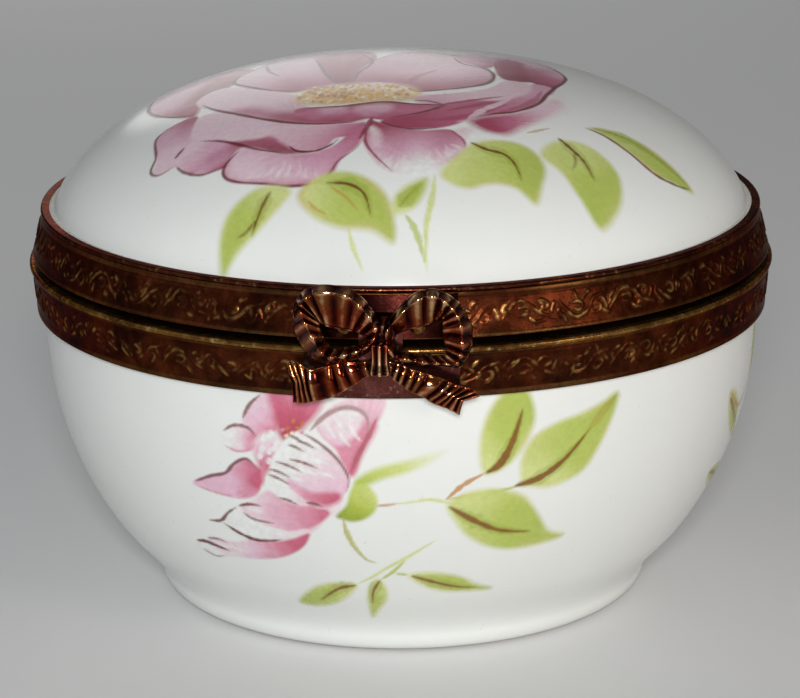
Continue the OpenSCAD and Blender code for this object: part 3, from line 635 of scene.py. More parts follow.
def paint_side_flower(c):
    """The pink flower seen from the side, with its calyx. (degrees from the bow, height)"""
    pale, lilac, pink, rose, deep = (linear(v) for v in (
        (233, 212, 220), (229, 188, 206), (220, 148, 168), (203, 104, 128), (182, 66, 88)))
    line_weight = 0.78

    def petal(outline, root, tip, *colours, **more):
        root, tip = flat([root, tip])
        c.petal(flat(outline), root, tip, *colours, **more)

    def stroke(points, width, colour, cover=0.9, taper=(0.25, 0.5)):
        c.stroke(flat(points), line_weight * width, colour, cover, taper)

    petal([(-15.5, 15.5), (-12, 16.4), (-9.4, 18), (-6.8, 19.6), (-7.6, 21), (-13, 19.6),
           (-17, 17)], (-16, 16), (-7, 20), pink, pink, pale, soft=0.5)
    petal([(-21.6, 27.6), (-20.5, 29.4), (-18.6, 30.6), (-17, 31.4), (-15.4, 31.2),
           (-15.6, 28.6), (-16.6, 26.4), (-18.6, 25.6), (-20.4, 26.2)], (-16.4, 27.4),
          (-20, 29.6), pink, lilac, pale)
    petal([(-17, 31.6), (-9, 31.6), (-9.4, 29.4), (-12, 27.4), (-14, 26), (-15.6, 26.4),
           (-16.4, 28.6)], (-13, 26.5), (-13, 32), deep, rose, pink, soft=0.4)
    petal([(-25, 26.2), (-23, 27.1), (-20.6, 27), (-19.4, 26), (-20, 24.8), (-22.2, 24.4),
           (-24.2, 24.4), (-25.3, 25.3)], (-20, 25.4), (-24, 25.6), pink, pale, WHITE)
    petal([(-20, 25), (-18.6, 26.4), (-16.6, 26.8), (-15.4, 25.6), (-17, 23.4), (-18.6, 22.2),
           (-19.4, 23.2)], (-17.2, 23.4), (-18, 26.5), rose, lilac, WHITE, soft=0.35)
    petal([(-9.8, 28), (-8, 29.6), (-5.5, 30.6), (-3, 31.3), (0.2, 31.6), (0.4, 30),
           (-1, 28), (-3, 25.4), (-4.4, 23), (-5.8, 23.4), (-7, 25.4), (-9, 26.8)],
          (-4, 24), (-4.5, 31), pink, pink, pale)
    petal([(-9.8, 27.8), (-8, 29), (-5.4, 29.8), (-3, 29.2), (-3.4, 27.8), (-5.4, 26.2),
           (-7.6, 26)], (-5, 25.4), (-5.5, 30), lilac, pale, WHITE, soft=0.3)
    petal([(-1.6, 28.2), (-2.6, 27.2), (-4.6, 24.6), (-5.4, 23), (-4.4, 22.8), (-3, 25),
           (-0.8, 27.8)], (-5, 23), (-1, 28), rose, rose, pink, soft=0.3, cover=0.85)
    petal([(-13.8, 26.8), (-12, 27.2), (-9.6, 26.4), (-7, 25), (-5.4, 23), (-5.4, 21.4),
           (-7, 20.2), (-9.2, 20.2), (-12, 20.8), (-14.6, 21.4), (-17, 22.4), (-17.4, 23.6),
           (-16, 25.2)], (-6.5, 20.4), (-12.5, 25.6), lilac, pale, WHITE, streak=0.1)
    petal([(-14.6, 22), (-11.4, 20.8), (-7.2, 20.9), (-6.8, 20), (-9.2, 19.3), (-12.6, 19.8),
           (-14.8, 20.8)], (-8, 20), (-15, 21.6), rose, pink, lilac, soft=0.3)
    petal([(-18, 21.2), (-17.6, 22.3), (-15.8, 22.1), (-14.4, 20.9), (-12.8, 20), (-12, 19.2),
           (-14.2, 19.1), (-16.4, 19.7), (-17.8, 20.5)], (-13, 19.4), (-17, 22), pale, WHITE,
          WHITE)
    petal([(-31.6, 20.2), (-29, 21), (-26.5, 21.6), (-24.8, 22.1), (-23.3, 23.1),
           (-21.5, 23.7), (-20, 23.2), (-18.6, 22.3), (-19.2, 21), (-20.4, 19.8),
           (-22.5, 19.2), (-25, 19.1), (-28, 19.4), (-31.4, 19.7)], (-19.8, 21), (-29, 20.4),
          rose, lilac, lilac)
    petal([(-18.6, 20.4), (-17.4, 20.2), (-15, 19.3), (-11, 18.9), (-9, 18.8), (-8.8, 18.2),
           (-11, 17), (-14, 16.2), (-17.5, 16.1), (-21, 16.7), (-23.6, 17.7), (-23.8, 18.3),
           (-21.6, 19)], (-10, 17.4), (-21, 18.4),
          rose * 0.7 + pink * 0.3, pink * 0.5 + lilac * 0.5, pale)
    petal([(-28, 15.9), (-25.5, 17.2), (-24, 18.1), (-22.8, 17), (-20, 16.3), (-16, 16),
           (-13, 16.4), (-12.2, 15.8), (-15, 15), (-19, 14.8), (-23, 14.4), (-25.5, 14.9)],
          (-13, 15.6), (-25, 16.4), pale, WHITE, WHITE)
    petal([(-35.2, 12.6), (-33, 13.5), (-30.5, 13.8), (-27, 13.6), (-23, 14.3), (-19, 14.4),
           (-15.5, 15), (-12.4, 15.9), (-13.5, 14.4), (-16, 13.2), (-19.5, 12.3),
           (-24, 11.8), (-28, 11.7), (-32, 11.2), (-34.8, 11.7)], (-16, 14), (-31, 12.4),
          rose, lilac, WHITE, streak=0.1)
    petal([(-21, 14.3), (-17, 14.6), (-13.4, 15.3), (-14.8, 14), (-18, 12.8), (-21, 13)],
          (-16.5, 14.8), (-21, 12.8), rose, pink, lilac, soft=0.4, cover=0.8)
    # Raised white hatching
    for a, z in ((-15, 25.6), (-13.6, 25), (-15.4, 24.4), (-12.4, 24.4), (-16, 23.2),
                 (-13, 23.2), (-15.2, 22.4), (-11, 24.4), (-10.2, 23)):
        stroke([(a, z), (a + 1.6, z - 0.25), (a + 3, z - 0.6)], 0.5, WHITE, 0.9)
    for a, z in ((-8.6, 28.4), (-7, 28.9), (-6.6, 27.6), (-5, 28.2)):
        stroke([(a, z), (a + 0.8, z - 1), (a + 1.8, z - 1.8)], 0.5, WHITE, 0.8)
    for a, z in ((-24.4, 16.4), (-22, 15.9), (-19.4, 15.7), (-22.6, 18.2), (-30.6, 13),
                 (-28, 13)):
        stroke([(a, z), (a + 1.5, z - 0.2), (a + 3, z - 0.3)], 0.4, WHITE, 0.85)
    # Stamens at the throat
    for k, (a, z) in enumerate(((-14.6, 27.2), (-13.9, 26.7), (-13, 27.3), (-12.4, 26.9),
                                (-13.6, 28), (-14.8, 26.4), (-12.2, 27.8), (-15.4, 27))):
        stroke([(a, z), (a + 0.3, z + 0.2), (a + 0.6, z + 0.2)], 0.5,
               (OCHRE, CREAM, OCHRE, pink)[k % 4], 0.9, (0.3, 0.3))
    for a, z in ((-18.4, 25.8), (-17.2, 26.3), (-18.8, 24.6), (-17.6, 24.4), (-16.4, 25.4),
                 (-17.9, 23.4), (-19.2, 23.8), (-16.8, 24.8)):
        stroke([(a, z), (a + 0.3, z + 0.4), (a + 0.8, z + 0.5)], 0.75, WHITE, 0.85, (0.3, 0.3))

    # Drawn lines
    dark = MAROON * 0.7 + UMBER * 0.3
    brown = TAUPE * 0.6 + MAROON * 0.4
    stroke([(-21.5, 27.9), (-20.3, 29.4), (-18.4, 30.6)], 0.5, brown, 0.85)
    stroke([(-25, 26.3), (-23, 27.1), (-20.6, 27), (-19.2, 26)], 0.42, brown)
    stroke([(-25, 24.9), (-22.8, 24.4), (-20.4, 24.8), (-19.8, 25.6)], 0.3, pink)
    stroke([(-11, 27.2), (-8.6, 28.9), (-5.8, 29.8), (-3.4, 29.6), (-2.2, 28.6), (-2.4, 27)],
           0.6, TAUPE * 0.7 + pale * 0.3, 0.9, (0.2, 0.4))
    stroke([(-0.8, 29), (-2, 27.2), (-3.6, 25.2), (-5, 23.1)], 0.6,
           TAUPE * 0.5 + rose * 0.5, 0.8, (0.3, 0.3))
    stroke([(-17.8, 24.4), (-18.7, 22.6), (-18.9, 20.8)], 0.6, pink, 0.7, (0.3, 0.3))
    stroke([(-12.4, 27.1), (-10, 26.3), (-7.6, 25), (-6, 23.6), (-5.3, 22.2), (-5.9, 20.8)],
           0.38, brown)
    for line in (((-13.8, 26.6), (-12.4, 26.1)), ((-12.6, 26.1), (-10.6, 25.6)),
                 ((-14, 25.6), (-12.4, 25.2)), ((-14, 24.1), (-10.2, 23.5)),
                 ((-16.2, 23.7), (-12.8, 23)), ((-17.2, 22.8), (-14.8, 22.3)),
                 ((-17.6, 22.2), (-15, 21.5)), ((-16.2, 19.7), (-14, 19.3)),
                 ((-11.8, 19.4), (-10, 19.3))):
        (a, z), (b, y) = line
        stroke([(a - 0.5, z + 0.1), ((a + b) / 2, (z + y) / 2 + 0.1), (b + 0.6, y - 0.2)],
               0.36, brown, 0.9, (0.3, 0.5))
    stroke([(-31.7, 20.1), (-28, 21.2), (-25.3, 21.8), (-23.5, 23), (-21.3, 23.7),
            (-19.6, 22.8)], 0.46, dark, 0.85, (0.2, 0.3))
    stroke([(-31.2, 19.7), (-27, 19.3), (-23, 19.2)], 0.3, rose, 0.6)
    stroke([(-24, 18.2), (-22, 18.6), (-19.6, 18.6)], 0.42, dark)
    stroke([(-23.5, 17.6), (-21.6, 16.9), (-17.8, 16.7)], 0.4, brown, 0.8)
    stroke([(-30.6, 15.8), (-28, 16.1), (-26.2, 17.2), (-24.2, 18.1)], 0.46, dark)
    stroke([(-27.8, 15.9), (-25, 14.9), (-22.4, 14.4), (-19.5, 14.5), (-17, 14.9)], 0.52,
           dark, 0.95)
    stroke([(-35.3, 12.7), (-33, 12.9), (-30.5, 12.6), (-28.2, 12.3)], 0.62, dark, 0.95)
    stroke([(-32.4, 13.4), (-30, 13.6), (-28, 13.3)], 0.36, brown, 0.8)
    stroke([(-34.9, 11.8), (-32, 11.2), (-29.6, 11.6)], 0.34, brown, 0.7)
    # Calyx, sepals and stem
    petal([(-7.6, 18.2), (-5.9, 19.5), (-5.2, 21), (-4, 22.3), (-2.3, 21.7), (-1.1, 20.5),
           (-1.4, 19), (-3, 18), (-5, 17.6), (-6.6, 17.8)], (-6.8, 18), (-2, 21.5),
          LEAF_DARK, LEAF, LEAF_LIGHT, soft=0.22, film=0.4)
    petal([(-4.4, 22), (-3, 23), (0, 23.9), (4, 24.5), (7.6, 25.2), (10.6, 25.7), (7, 24.2),
           (3.6, 23.2), (0, 22.5), (-2.6, 21.8)], (-4, 22), (10, 25.6), LEAF, LEAF_LIGHT,
          WHITE, soft=0.35, film=0.3)
    stroke([(-6.6, 18), (-6.2, 16.4), (-5.2, 14.7), (-3.4, 13.1), (-1.4, 12.6)], 0.8,
           LEAF * 0.7 + OCHRE * 0.3, 0.8, (0.3, 0.7))
    stroke([(-1.4, 19.5), (0.4, 19.6), (2.4, 19.8)], 0.4, OCHRE, 0.7)
    stroke([(1.6, 19.7), (5, 20), (9, 20.2)], 0.3, LEAF_LIGHT, 0.8)


# ---------------------------------------------------------------- materials

def material(name):
    """A new material with only a principled shader, and that shader."""
    m = bpy.data.materials.new(name)
    m.use_nodes = True
    m.node_tree.nodes.clear()
    out = m.node_tree.nodes.new("ShaderNodeOutputMaterial")
    shader = m.node_tree.nodes.new("ShaderNodeBsdfPrincipled")
    m.node_tree.links.new(shader.outputs[0], out.inputs[0])
    return m, shader


class Nodes:
    """Short forms for the few kinds of node that the materials use."""

    def __init__(self, mat, shader):
        self.tree = mat.node_tree
        self.shader = shader
        self.coords = self.tree.nodes.new("ShaderNodeTexCoord").outputs["Object"]

    def link(self, a, b):
        self.tree.links.new(a, b)

    def noise(self, scale, detail, rough=0.55):
        """Clouds between 0 and 1, with so many cells to the metre."""
        n = self.tree.nodes.new("ShaderNodeTexNoise")
        n.inputs["Scale"].default_value = scale
        n.inputs["Detail"].default_value = detail
        n.inputs["Roughness"].default_value = rough
        self.link(self.coords, n.inputs["Vector"])
        return n.outputs["Fac"]

    def ramp(self, value, stops):
        """Turns a value into a grey or a colour, by (value, grey or colour) stops."""
        n = self.tree.nodes.new("ShaderNodeValToRGB")
        while len(n.color_ramp.elements) < len(stops):
            n.color_ramp.elements.new(0.5)
        for e, (pos, colour) in zip(n.color_ramp.elements, stops):
            e.position = pos
            e.color = (*colour, 1) if len(np.shape(colour)) else (colour, colour, colour, 1)
        self.link(value, n.inputs[0])
        return n.outputs["Color"]

    def mix(self, fac, a, b, mode="MIX"):
        """Blends two colours. Each may be a socket or a constant."""
        n = self.tree.nodes.new("ShaderNodeMix")
        n.data_type = "RGBA"
        n.blend_type = mode
        for socket, v in ((n.inputs["Factor"], fac), (n.inputs[6], a), (n.inputs[7], b)):
            if hasattr(v, "is_linked"):
                self.link(v, socket)
            elif socket == n.inputs["Factor"]:
                socket.default_value = v
            else:
                socket.default_value = (*v, 1)
        return n.outputs[2]

    def math(self, op, a, b, clamp=False):
        n = self.tree.nodes.new("ShaderNodeMath")
        n.operation = op
        n.use_clamp = clamp
        for socket, v in ((n.inputs[0], a), (n.inputs[1], b)):
            if hasattr(v, "is_linked"):
                self.link(v, socket)
            else:
                socket.default_value = v
        return n.outputs[0]

    def attribute(self, name):
        """What set_colour stored: a colour, and the fourth value beside it."""
        n = self.tree.nodes.new("ShaderNodeVertexColor")
        n.layer_name = name
        return n.outputs["Color"], n.outputs["Alpha"]

    def bump(self, height, distance, strength):
        n = self.tree.nodes.new("ShaderNodeBump")
        n.inputs["Distance"].default_value = distance
        n.inputs["Strength"].default_value = strength
        self.link(height, n.inputs["Height"])
        self.link(n.outputs[0], self.shader.inputs["Normal"])

    def colour(self, value):
        self.link(value, self.shader.inputs["Base Color"])

    def roughness(self, value, lo, hi):
        """The gloss varies with the value, between two roughnesses."""
        n = self.tree.nodes.new("ShaderNodeMapRange")
        n.inputs["To Min"].default_value = lo
        n.inputs["To Max"].default_value = hi
        self.link(value, n.inputs["Value"])
        self.link(n.outputs[0], self.shader.inputs["Roughness"])


def porcelain_material():
    """Glazed porcelain: soft gloss, faint mottling, pin specks and the painted colours."""
    m, s = material("glazed_porcelain")
    n = Nodes(m, s)
    paint, film = n.attribute("paint")
    mottle = n.ramp(n.noise(55, 5), [(0.3, (0.955, 0.962, 0.962)), (0.7, (1, 1, 0.995))])
    specks = n.ramp(n.noise(2600, 1, 0.4), [(0.21, (0.8, 0.75, 0.68)), (0.24, (1, 1, 1))])
    colour = n.mix(1.0, paint, mottle, "MULTIPLY")
    colour = n.mix(0.5, colour, specks, "MULTIPLY")
    brush = n.ramp(n.noise(1500, 3, 0.6), [(0.35, (0.86, 0.84, 0.86)), (0.65, (1.08, 1.08, 1.08))])
    film_share = n.math("MULTIPLY", film, 0.75, True)
    brushed = n.mix(film_share, colour, n.mix(1.0, colour, brush, "MULTIPLY"))
    n.colour(brushed)
    grain = n.noise(900, 3)
    n.roughness(n.math("ADD", n.math("MULTIPLY", film, 0.45), n.math("MULTIPLY", grain, 0.5)),
                0.2, 0.38)
    ripple = n.math("ADD", n.noise(130, 2), n.math("MULTIPLY", n.noise(1100, 2), 0.12))
    n.bump(ripple, 0.00012, 0.35)
    for name, value in (("Subsurface Weight", 0.12), ("Subsurface Radius", (1.0, 0.8, 0.6)),
                        ("Subsurface Scale", 0.0012), ("Coat Weight", 0.08),
                        ("Coat Roughness", 0.1), ("Specular IOR Level", 0.22)):
        s.inputs[name].default_value = value
    return m


def brass_material(name, recess, raised, worn, rough, use_relief=False, scale=1.0,
                   grain=0.7):
    """Patinated brass: dark in the hollows, warmer on high places, bright where it is
    rubbed."""
    m, s = material(name)
    n = Nodes(m, s)
    cloud = n.noise(260 * scale, 5, 0.6)
    fine = n.noise(1500 * scale, 4, 0.65)
    base = n.mix(n.ramp(cloud, [(0.32, 0.0), (0.68, 1.0)]), linear(recess), linear(raised))
    tarnish = n.ramp(n.noise(620 * scale, 6, 0.7), [(0.45, (0.42, 0.3, 0.28)), (0.62, (1, 1, 1))])
    base = n.mix(0.7, base, tarnish, "MULTIPLY")
    if use_relief:
        wear_and_painted_light, _ = n.attribute("wear_and_painted_light")
        wear = n.math("MULTIPLY", wear_and_painted_light, n.ramp(fine, [(0.28, 0.25), (0.6, 1.0)]), True)
        base = n.mix(wear, base, linear(worn))
    else:
        wear = n.ramp(fine, [(0.56, 0.0), (0.74, 1.0)])
        base = n.mix(n.math("MULTIPLY", wear, 0.6), base, linear(worn))
    n.colour(base)
    n.roughness(n.math("ADD", n.math("MULTIPLY", cloud, 0.6), n.math("MULTIPLY", fine, 0.4)),
                *rough)
    s.inputs["Specular Tint"].default_value = (0.4, 0.28, 0.22, 1)
    n.bump(n.math("ADD", fine, n.math("MULTIPLY", n.noise(4200, 2), 0.3)), 0.00006, grain)
    s.inputs["Metallic"].default_value = 0.92
    return m


def bow_material():
    """Polished cast brass with painted light: painted shade, nearly black, in the pleats'
    valleys, copper on their flanks, and a painted gold highlight along their backs and the ribbon's
    edges."""
    m, s = material("bow_brass_painted_light")
    n = Nodes(m, s)
    wear_and_painted_light, _ = n.attribute("wear_and_painted_light")
    cloud = n.noise(520, 4, 0.6)
    # Painted light: the ramp goes from painted shade, near black, to a painted highlight, near
    # white gold
    level = n.math("ADD", n.math("MULTIPLY", wear_and_painted_light, 0.75), n.math("MULTIPLY", cloud, 0.5))
    base = n.ramp(level, [(0.26, linear((28, 8, 9))), (0.52, linear((76, 24, 17))),
                          (0.8, linear((126, 72, 32))), (1.0, linear((242, 206, 156)))])
    blush = n.ramp(n.noise(330, 3), [(0.4, (0.95, 0.4, 0.38)), (0.58, (1, 1, 1))])
    n.colour(n.mix(0.8, base, blush, "MULTIPLY"))
    n.roughness(n.noise(1800, 3), 0.05, 0.16)
    n.bump(n.noise(2400, 3), 0.00005, 0.35)
    s.inputs["Metallic"].default_value = 0.95
    return m


def cement_material(name, dark, pale, stained=0.6):
    """Dull, grainy bedding cement, stained in patches."""
    m, s = material(name)
    n = Nodes(m, s)
    grain = n.noise(1400, 5, 0.7)
    base = n.ramp(grain, [(0.3, linear(dark)), (0.7, linear(pale))])
    stain = n.ramp(n.noise(200, 3), [(0.4, (0.75, 0.62, 0.5)), (0.6, (1, 1, 1))])
    n.colour(n.mix(stained, base, stain, "MULTIPLY"))
    n.roughness(grain, 0.7, 0.95)
    n.bump(grain, 0.00015, 0.8)
    return m


porcelain = porcelain_material()
band_brass = brass_material("patinated_band", (46, 23, 14), (104, 50, 26), (190, 146, 84),
                            (0.2, 0.42), use_relief=True)
wire_brass = brass_material("rim_wire_brass", (108, 70, 34), (176, 134, 70), (242, 214, 146),
                            (0.16, 0.36))
lid_wire_brass = brass_material("lid_wire_brass", (60, 26, 20), (112, 62, 40),
                                (190, 146, 100), (0.16, 0.36))
plate_brass = brass_material("smooth_plate_brass", (40, 13, 12), (66, 25, 20),
                             (120, 70, 52), (0.08, 0.17), scale=0.6, grain=0.12)
catch_brass = brass_material("catch_plate_brass", (84, 42, 38), (136, 82, 74),
                             (226, 190, 178), (0.1, 0.24), scale=0.6, grain=0.2)
bow_brass_painted_light = bow_material()
# The bezels inside the gap between lid and base get darker brass: painted shade for the shadowed
# gap
shaded_inner_brass = brass_material("inner_rim_brass_painted_shade", (58, 36, 20), (104, 70, 38),
                             (160, 122, 72), (0.22, 0.42))
cement = cement_material("bedding_cement", (168, 156, 132), (226, 218, 200))
white_cement = cement_material("white_cement", (206, 202, 194), (234, 232, 226), 0.2)


def dress(obj, mat):
    obj.data.materials.clear()
    obj.data.materials.append(mat)


# ---------------------------------------------------------------- porcelain

def arc(cx, cz, r, start, end, steps):
    return [(cx + r * math.cos(math.radians(a)), cz + r * math.sin(math.radians(a)))
            for a in np.linspace(start, end, steps)]


def bezier(a, b, c, steps):
    """A curve from a to c that is pulled towards b."""
    a, b, c = (np.array(p, float) for p in (a, b, c))
    return [tuple((1 - t) ** 2 * a + 2 * t * (1 - t) * b + t * t * c)
            for t in np.linspace(0, 1, steps)]


def cubic(a, b, c, d, steps):
    """A curve from a to d that leaves towards b and comes in from c."""
    a, b, c, d = (np.array(p, float) for p in (a, b, c, d))
    return [tuple((1 - t) ** 3 * a + 3 * t * (1 - t) ** 2 * b + 3 * t * t * (1 - t) * c
                  + t ** 3 * d)
            for t in np.linspace(0, 1, steps)]


def bowl_profile():
    """Half section of the bowl, from the middle of the foot's hollow, out and up the
    outside, over the rim and down the inside."""
    def wall(z, inset=0.0):
        return float(bowl_r(z, inset))

    axis_gap, recess, ring_r = 0.4, 1.4, 0.25
    hollow_r, stand_r = FOOT_R - 3.0, FOOT_R - 1.5
    under = [(axis_gap, recess), (6, recess), (14, recess), (hollow_r - 2.4, recess)]
    under += bezier((hollow_r - 2, recess), (hollow_r - 0.7, recess),
                    (hollow_r - 0.3, ring_r), 6)
    under += arc(hollow_r + 0.1, ring_r, ring_r, 215, 270, 4)
    under += [(stand_r, 0.0)]
    # The foot's rounded edge, the hollow sweep above it, and the bowl's long arc
    foot_top, waist_z = (FOOT_R + 1.05, 2.0), 8.0
    waist = (wall(waist_z), waist_z)
    edge = bezier((stand_r, 0.0), (FOOT_R + 0.8, 0.0), foot_top, 14)[1:]
    sweep = cubic(foot_top, (foot_top[0] + 0.15, 3.6), (waist[0] - 1.6, 5.8), waist, 24)[1:]
    top = BOWL_TOP_Z
    side = [(wall(z), z) for z in np.linspace(waist_z, top - 0.5, 60)[1:]]
    rim_out = bezier((wall(top - 0.4), top - 0.4), (wall(top), top), (wall(top) - 0.6, top), 4)
    inner = wall(top, BOWL_WALL)
    rim_in = bezier((inner + 0.6, top), (inner, top), (wall(top - 0.5, BOWL_WALL), top - 0.5), 4)
    # Inside, the wall rounds into a flat floor
    floor_z, bend_z = 4.6, 8.5
    inside = [(wall(z, BOWL_WALL), z) for z in np.linspace(top - 0.6, bend_z, 34)]
    bend_r = wall(bend_z, BOWL_WALL)
    floor = bezier((bend_r, bend_z), (bend_r - 2.2, floor_z), (bend_r - 7.5, floor_z), 12)[1:]
    floor += [(12, floor_z), (5, floor_z), (axis_gap, floor_z)]
    painted_step, plain_step, under_step = 0.2, 1.4, 2.5
    return (resample(under, under_step) + resample(edge + sweep + side, painted_step)
            + rim_out + resample(rim_in + inside + floor, plain_step))


def lid_profile():
    """Half section of the lid, from the crown outwards, down to its edge and back inside."""
    def curve(angles, radius, inset):
        r = radius * np.sin(angles)
        return list(zip(r.tolist(), dome_z(r, inset).tolist()))

    crown_r, painted_step = 0.15, 0.18
    outside = [(crown_r, float(dome_z(crown_r)))]
    outside += curve(np.linspace(0, math.pi / 2, 260)[1:], DOME_R, 0.0)
    inner_r = DOME_R - LID_WALL
    foot_z, turn_r = DOME_FOOT_Z, 0.3
    edge = [(DOME_R, foot_z + turn_r)]
    edge += bezier((DOME_R, foot_z + 0.25), (DOME_R, foot_z), (DOME_R - turn_r, foot_z), 4)
    edge += bezier((inner_r + turn_r, foot_z), (inner_r, foot_z), (inner_r, foot_z + turn_r), 4)
    inside = curve(np.linspace(math.pi / 2, 0.01, 50), inner_r, LID_WALL)
    return resample(outside, painted_step) + edge + inside


def raise_film(points, film):
    """Lifts the glaze outwards by the thickness of the enamel."""
    out = points - np.array([0, 0, MIDDLE_Z])
    out = out / np.maximum(np.linalg.norm(out, axis=1), 1e-9)[:, None]
    return points + out * (FILM_LIFT * film)[:, None]


def glaze(name, verts, faces, canvas, body):
    """The finished porcelain piece, with its painting stored as colour and film."""
    obj = new_mesh(name, raise_film(verts, canvas.film), faces, body)
    set_colour(obj, "paint", np.column_stack([np.clip(canvas.rgb, 0, 1), canvas.film]))
    dress(obj, porcelain)
    return obj


def build_bowl():
    angles = round_angles(fine_from=-40, fine_to=92, fine_step=0.27, coarse_step=1.4)
    pts = lathe_points(bowl_profile(), angles)
    turn = (np.degrees(angles) + 180) % 360 - 180
    a, z = np.meshgrid(turn, pts[:, 0, 2])
    r = np.hypot(pts[..., 0], pts[..., 1])
    foot_top, arc_top = 5, 36
    outside = (r > bowl_r(np.clip(z, foot_top, arc_top), 1.0)) & (z > 2)
    places = np.stack([a * DEGREE, np.where(outside, z, OFF_CANVAS)], -1).reshape(-1, 2)
    verts, faces = lathe_solid(pts)
    canvas = Canvas(np.vstack([places, [[0, OFF_CANVAS], [0, OFF_CANVAS]]]), WHITE)
    paint_side_flower(canvas)
    paint_spray(canvas)
    paint_edge_spray(canvas)
    paint_back_spray(canvas)
    shade_foot(canvas, verts)
    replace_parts(glaze("painted_bowl", verts, faces, canvas, "base"), "base_bowl")


def shade_foot(canvas, verts):
    """The ring that the box stands on is bare, slightly darker biscuit."""
    bare_below, recess_r = 0.22, 20
    r = np.hypot(verts[:, 0], verts[:, 1])
    canvas.rgb[(verts[:, 2] < bare_below) & (r > recess_r)] = BISCUIT


def paint_edge_spray(c):
    """The spray that only just shows at the box's right-hand side."""
    def place(points):
        return flat([(a + 2.5, z) for a, z in points])

    for shape in (
            ([(64.5, 24.6), (67, 24.4), (70.5, 22.6), (74, 19.8), (77, 17.6), (72.6, 18.4),
              (68, 20.4), (65.2, 22.6)],
             [(65, 24), (68.6, 21.9), (73, 19.4)], (65, 24), (76, 18)),
            ([(65.5, 15.6), (69, 15.8), (74, 15), (79, 13), (75, 12.6), (70, 13.2), (67, 14.2)],
             [(66, 15.4), (71, 14.4), (76, 13.3)], (66, 15.4), (78, 13)),
            ([(78, 24), (77, 27), (79.5, 29.8), (83, 30.6), (84.6, 28), (82.6, 25), (80, 23.6)],
             [(78.6, 24.2), (80.4, 26.4), (82.4, 29)], (78.6, 24), (83.4, 30))):
        bowl_leaf(c, shape, place, 0.75, UMBER * 0.7 + OCHRE * 0.3, 0.6)
    c.stroke(place([(64.8, 24.6), (72, 21.8), (78.2, 24)]), 0.45, OCHRE, 0.8, (0.3, 0.3), 0.4)
    c.stroke(place([(77, 17.6), (80, 15.6), (84, 14.6)]), 0.45, LEAF, 0.8, (0.3, 0.4), 0.4)


def paint_back_spray(c):
    """Plain leaves at the back, in the manner of the front ones: two to each side of the
    hinge, with the pair on one side a little higher."""
    big = ([(8, 15), (9, 18), (13, 20.6), (19, 22), (24, 22.2), (22, 19), (17, 16), (12, 14.6)],
           [(8, 15.2), (13, 17.4), (20, 20.6)], (9, 15.4), (23, 22))
    small = ([(7, 12.6), (11, 13.2), (17, 12.6), (23, 10.6), (18, 9.6), (12, 10.2)],
             [(7, 12.6), (13, 11.6), (19, 10.8)], (8, 12.4), (22, 10.6))
    for sign, lift in ((1, 0), (-1, 1.2)):
        def place(points):
            return flat([(-sign * a % 360 - 180, z + lift) for a, z in points])

        bowl_leaf(c, big, place, 0.35, width=0.55)
        bowl_leaf(c, small, place, 0.35, width=0.55)


def build_lid():
    angles = round_angles(fine_from=-112, fine_to=76, fine_step=0.33, coarse_step=1.3)
    profile = lid_profile()
    pts = lathe_points(profile, angles)
    outside = np.arange(len(profile)) < np.argmax(np.array(profile)[:, 0]) + 1
    places = pts[..., :2].copy()
    places[~outside] = OFF_CANVAS
    verts, faces = lathe_solid(pts)
    canvas = Canvas(np.vstack([places.reshape(-1, 2), [[0, 0], [OFF_CANVAS] * 2]]), WHITE)
    paint_lid(canvas)
    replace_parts(glaze("painted_lid", verts, faces, canvas, "lid"), "lid_dome")


build_bowl()
build_lid()

for mat, nodes in ((cement, ["base_cement"]),
                   (white_cement, ["lid_cement"]),
                   (shaded_inner_brass, ["base_bezel", "lid_bezel"]),
                   (wire_brass, ["base_rim_wire", "catch_nib", "hinge_pin", "clasp_rivets"]),
                   (lid_wire_brass, ["lid_rim_wire", "hinge_leaf_lower", "hinge_leaf_upper"]),
                   (catch_brass, ["catch_plate", "clasp_tongue"]),
                   (plate_brass, ["clasp_plate"])):
    for node in nodes:
        dress(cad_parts[node], mat)


# ---------------------------------------------------------------- engraved bands

ORNAMENTS = 42
BAND_STEP = 0.11

# Heights on the strip's face: the scrolls and lips stand up, the ground is sunk
RIDGE_RISE = 0.1
LIP_RISE = 0.05
GROOVE_DEPTH = 0.06
GROUND_DEPTH = 0.04


def scroll_motif(c, start, pitch, middle, flip, r):
    """One length of running scroll: a bent stem with a curl, a leaf fan and loose flicks.
    All of it is drawn in (share of the length, height). Every point is shifted a little."""
    def curve(points, width):
        line = [(start + pitch * x + r.normal(0, 0.06),
                 middle + flip * y + r.normal(0, 0.05)) for x, y in points]
        c.stroke(line, width * r.uniform(0.6, 1.0), WHITE, 1.0, (0.3, 0.3), 1.0)

    curve([(0, -0.9), (0.16, 0.1), (0.34, 0.95), (0.55, 0.6), (0.72, -0.4), (1, -0.95)], 0.34)
    curve([(0.3, 0.2), (0.42, 0.35), (0.5, 0), (0.42, -0.4), (0.3, -0.3)], 0.34)
    curve([(0.62, 0.6), (0.74, 0.95), (0.84, 0.5), (0.8, 0.05), (0.72, 0.2)], 0.32)
    curve([(0.1, -0.4), (0.04, 0.2), (0.12, 0.8), (0.2, 1.1)], 0.3)
    curve([(0.5, -0.5), (0.56, -1), (0.66, -1.2)], 0.32)
    curve([(0.88, -0.5), (0.94, 0.1), (0.98, 0.7)], 0.3)
    for k in range(4):
        x, y, a = r.uniform(0, 1), r.uniform(-1.1, 1.1), r.uniform(0, math.pi)
        dx, dy = 0.5 * math.cos(a) / pitch, 0.5 * math.sin(a)
        curve([(x - dx, y - dy), (x + 0.02, y + 0.05), (x + dx, y + dy)], 0.26)


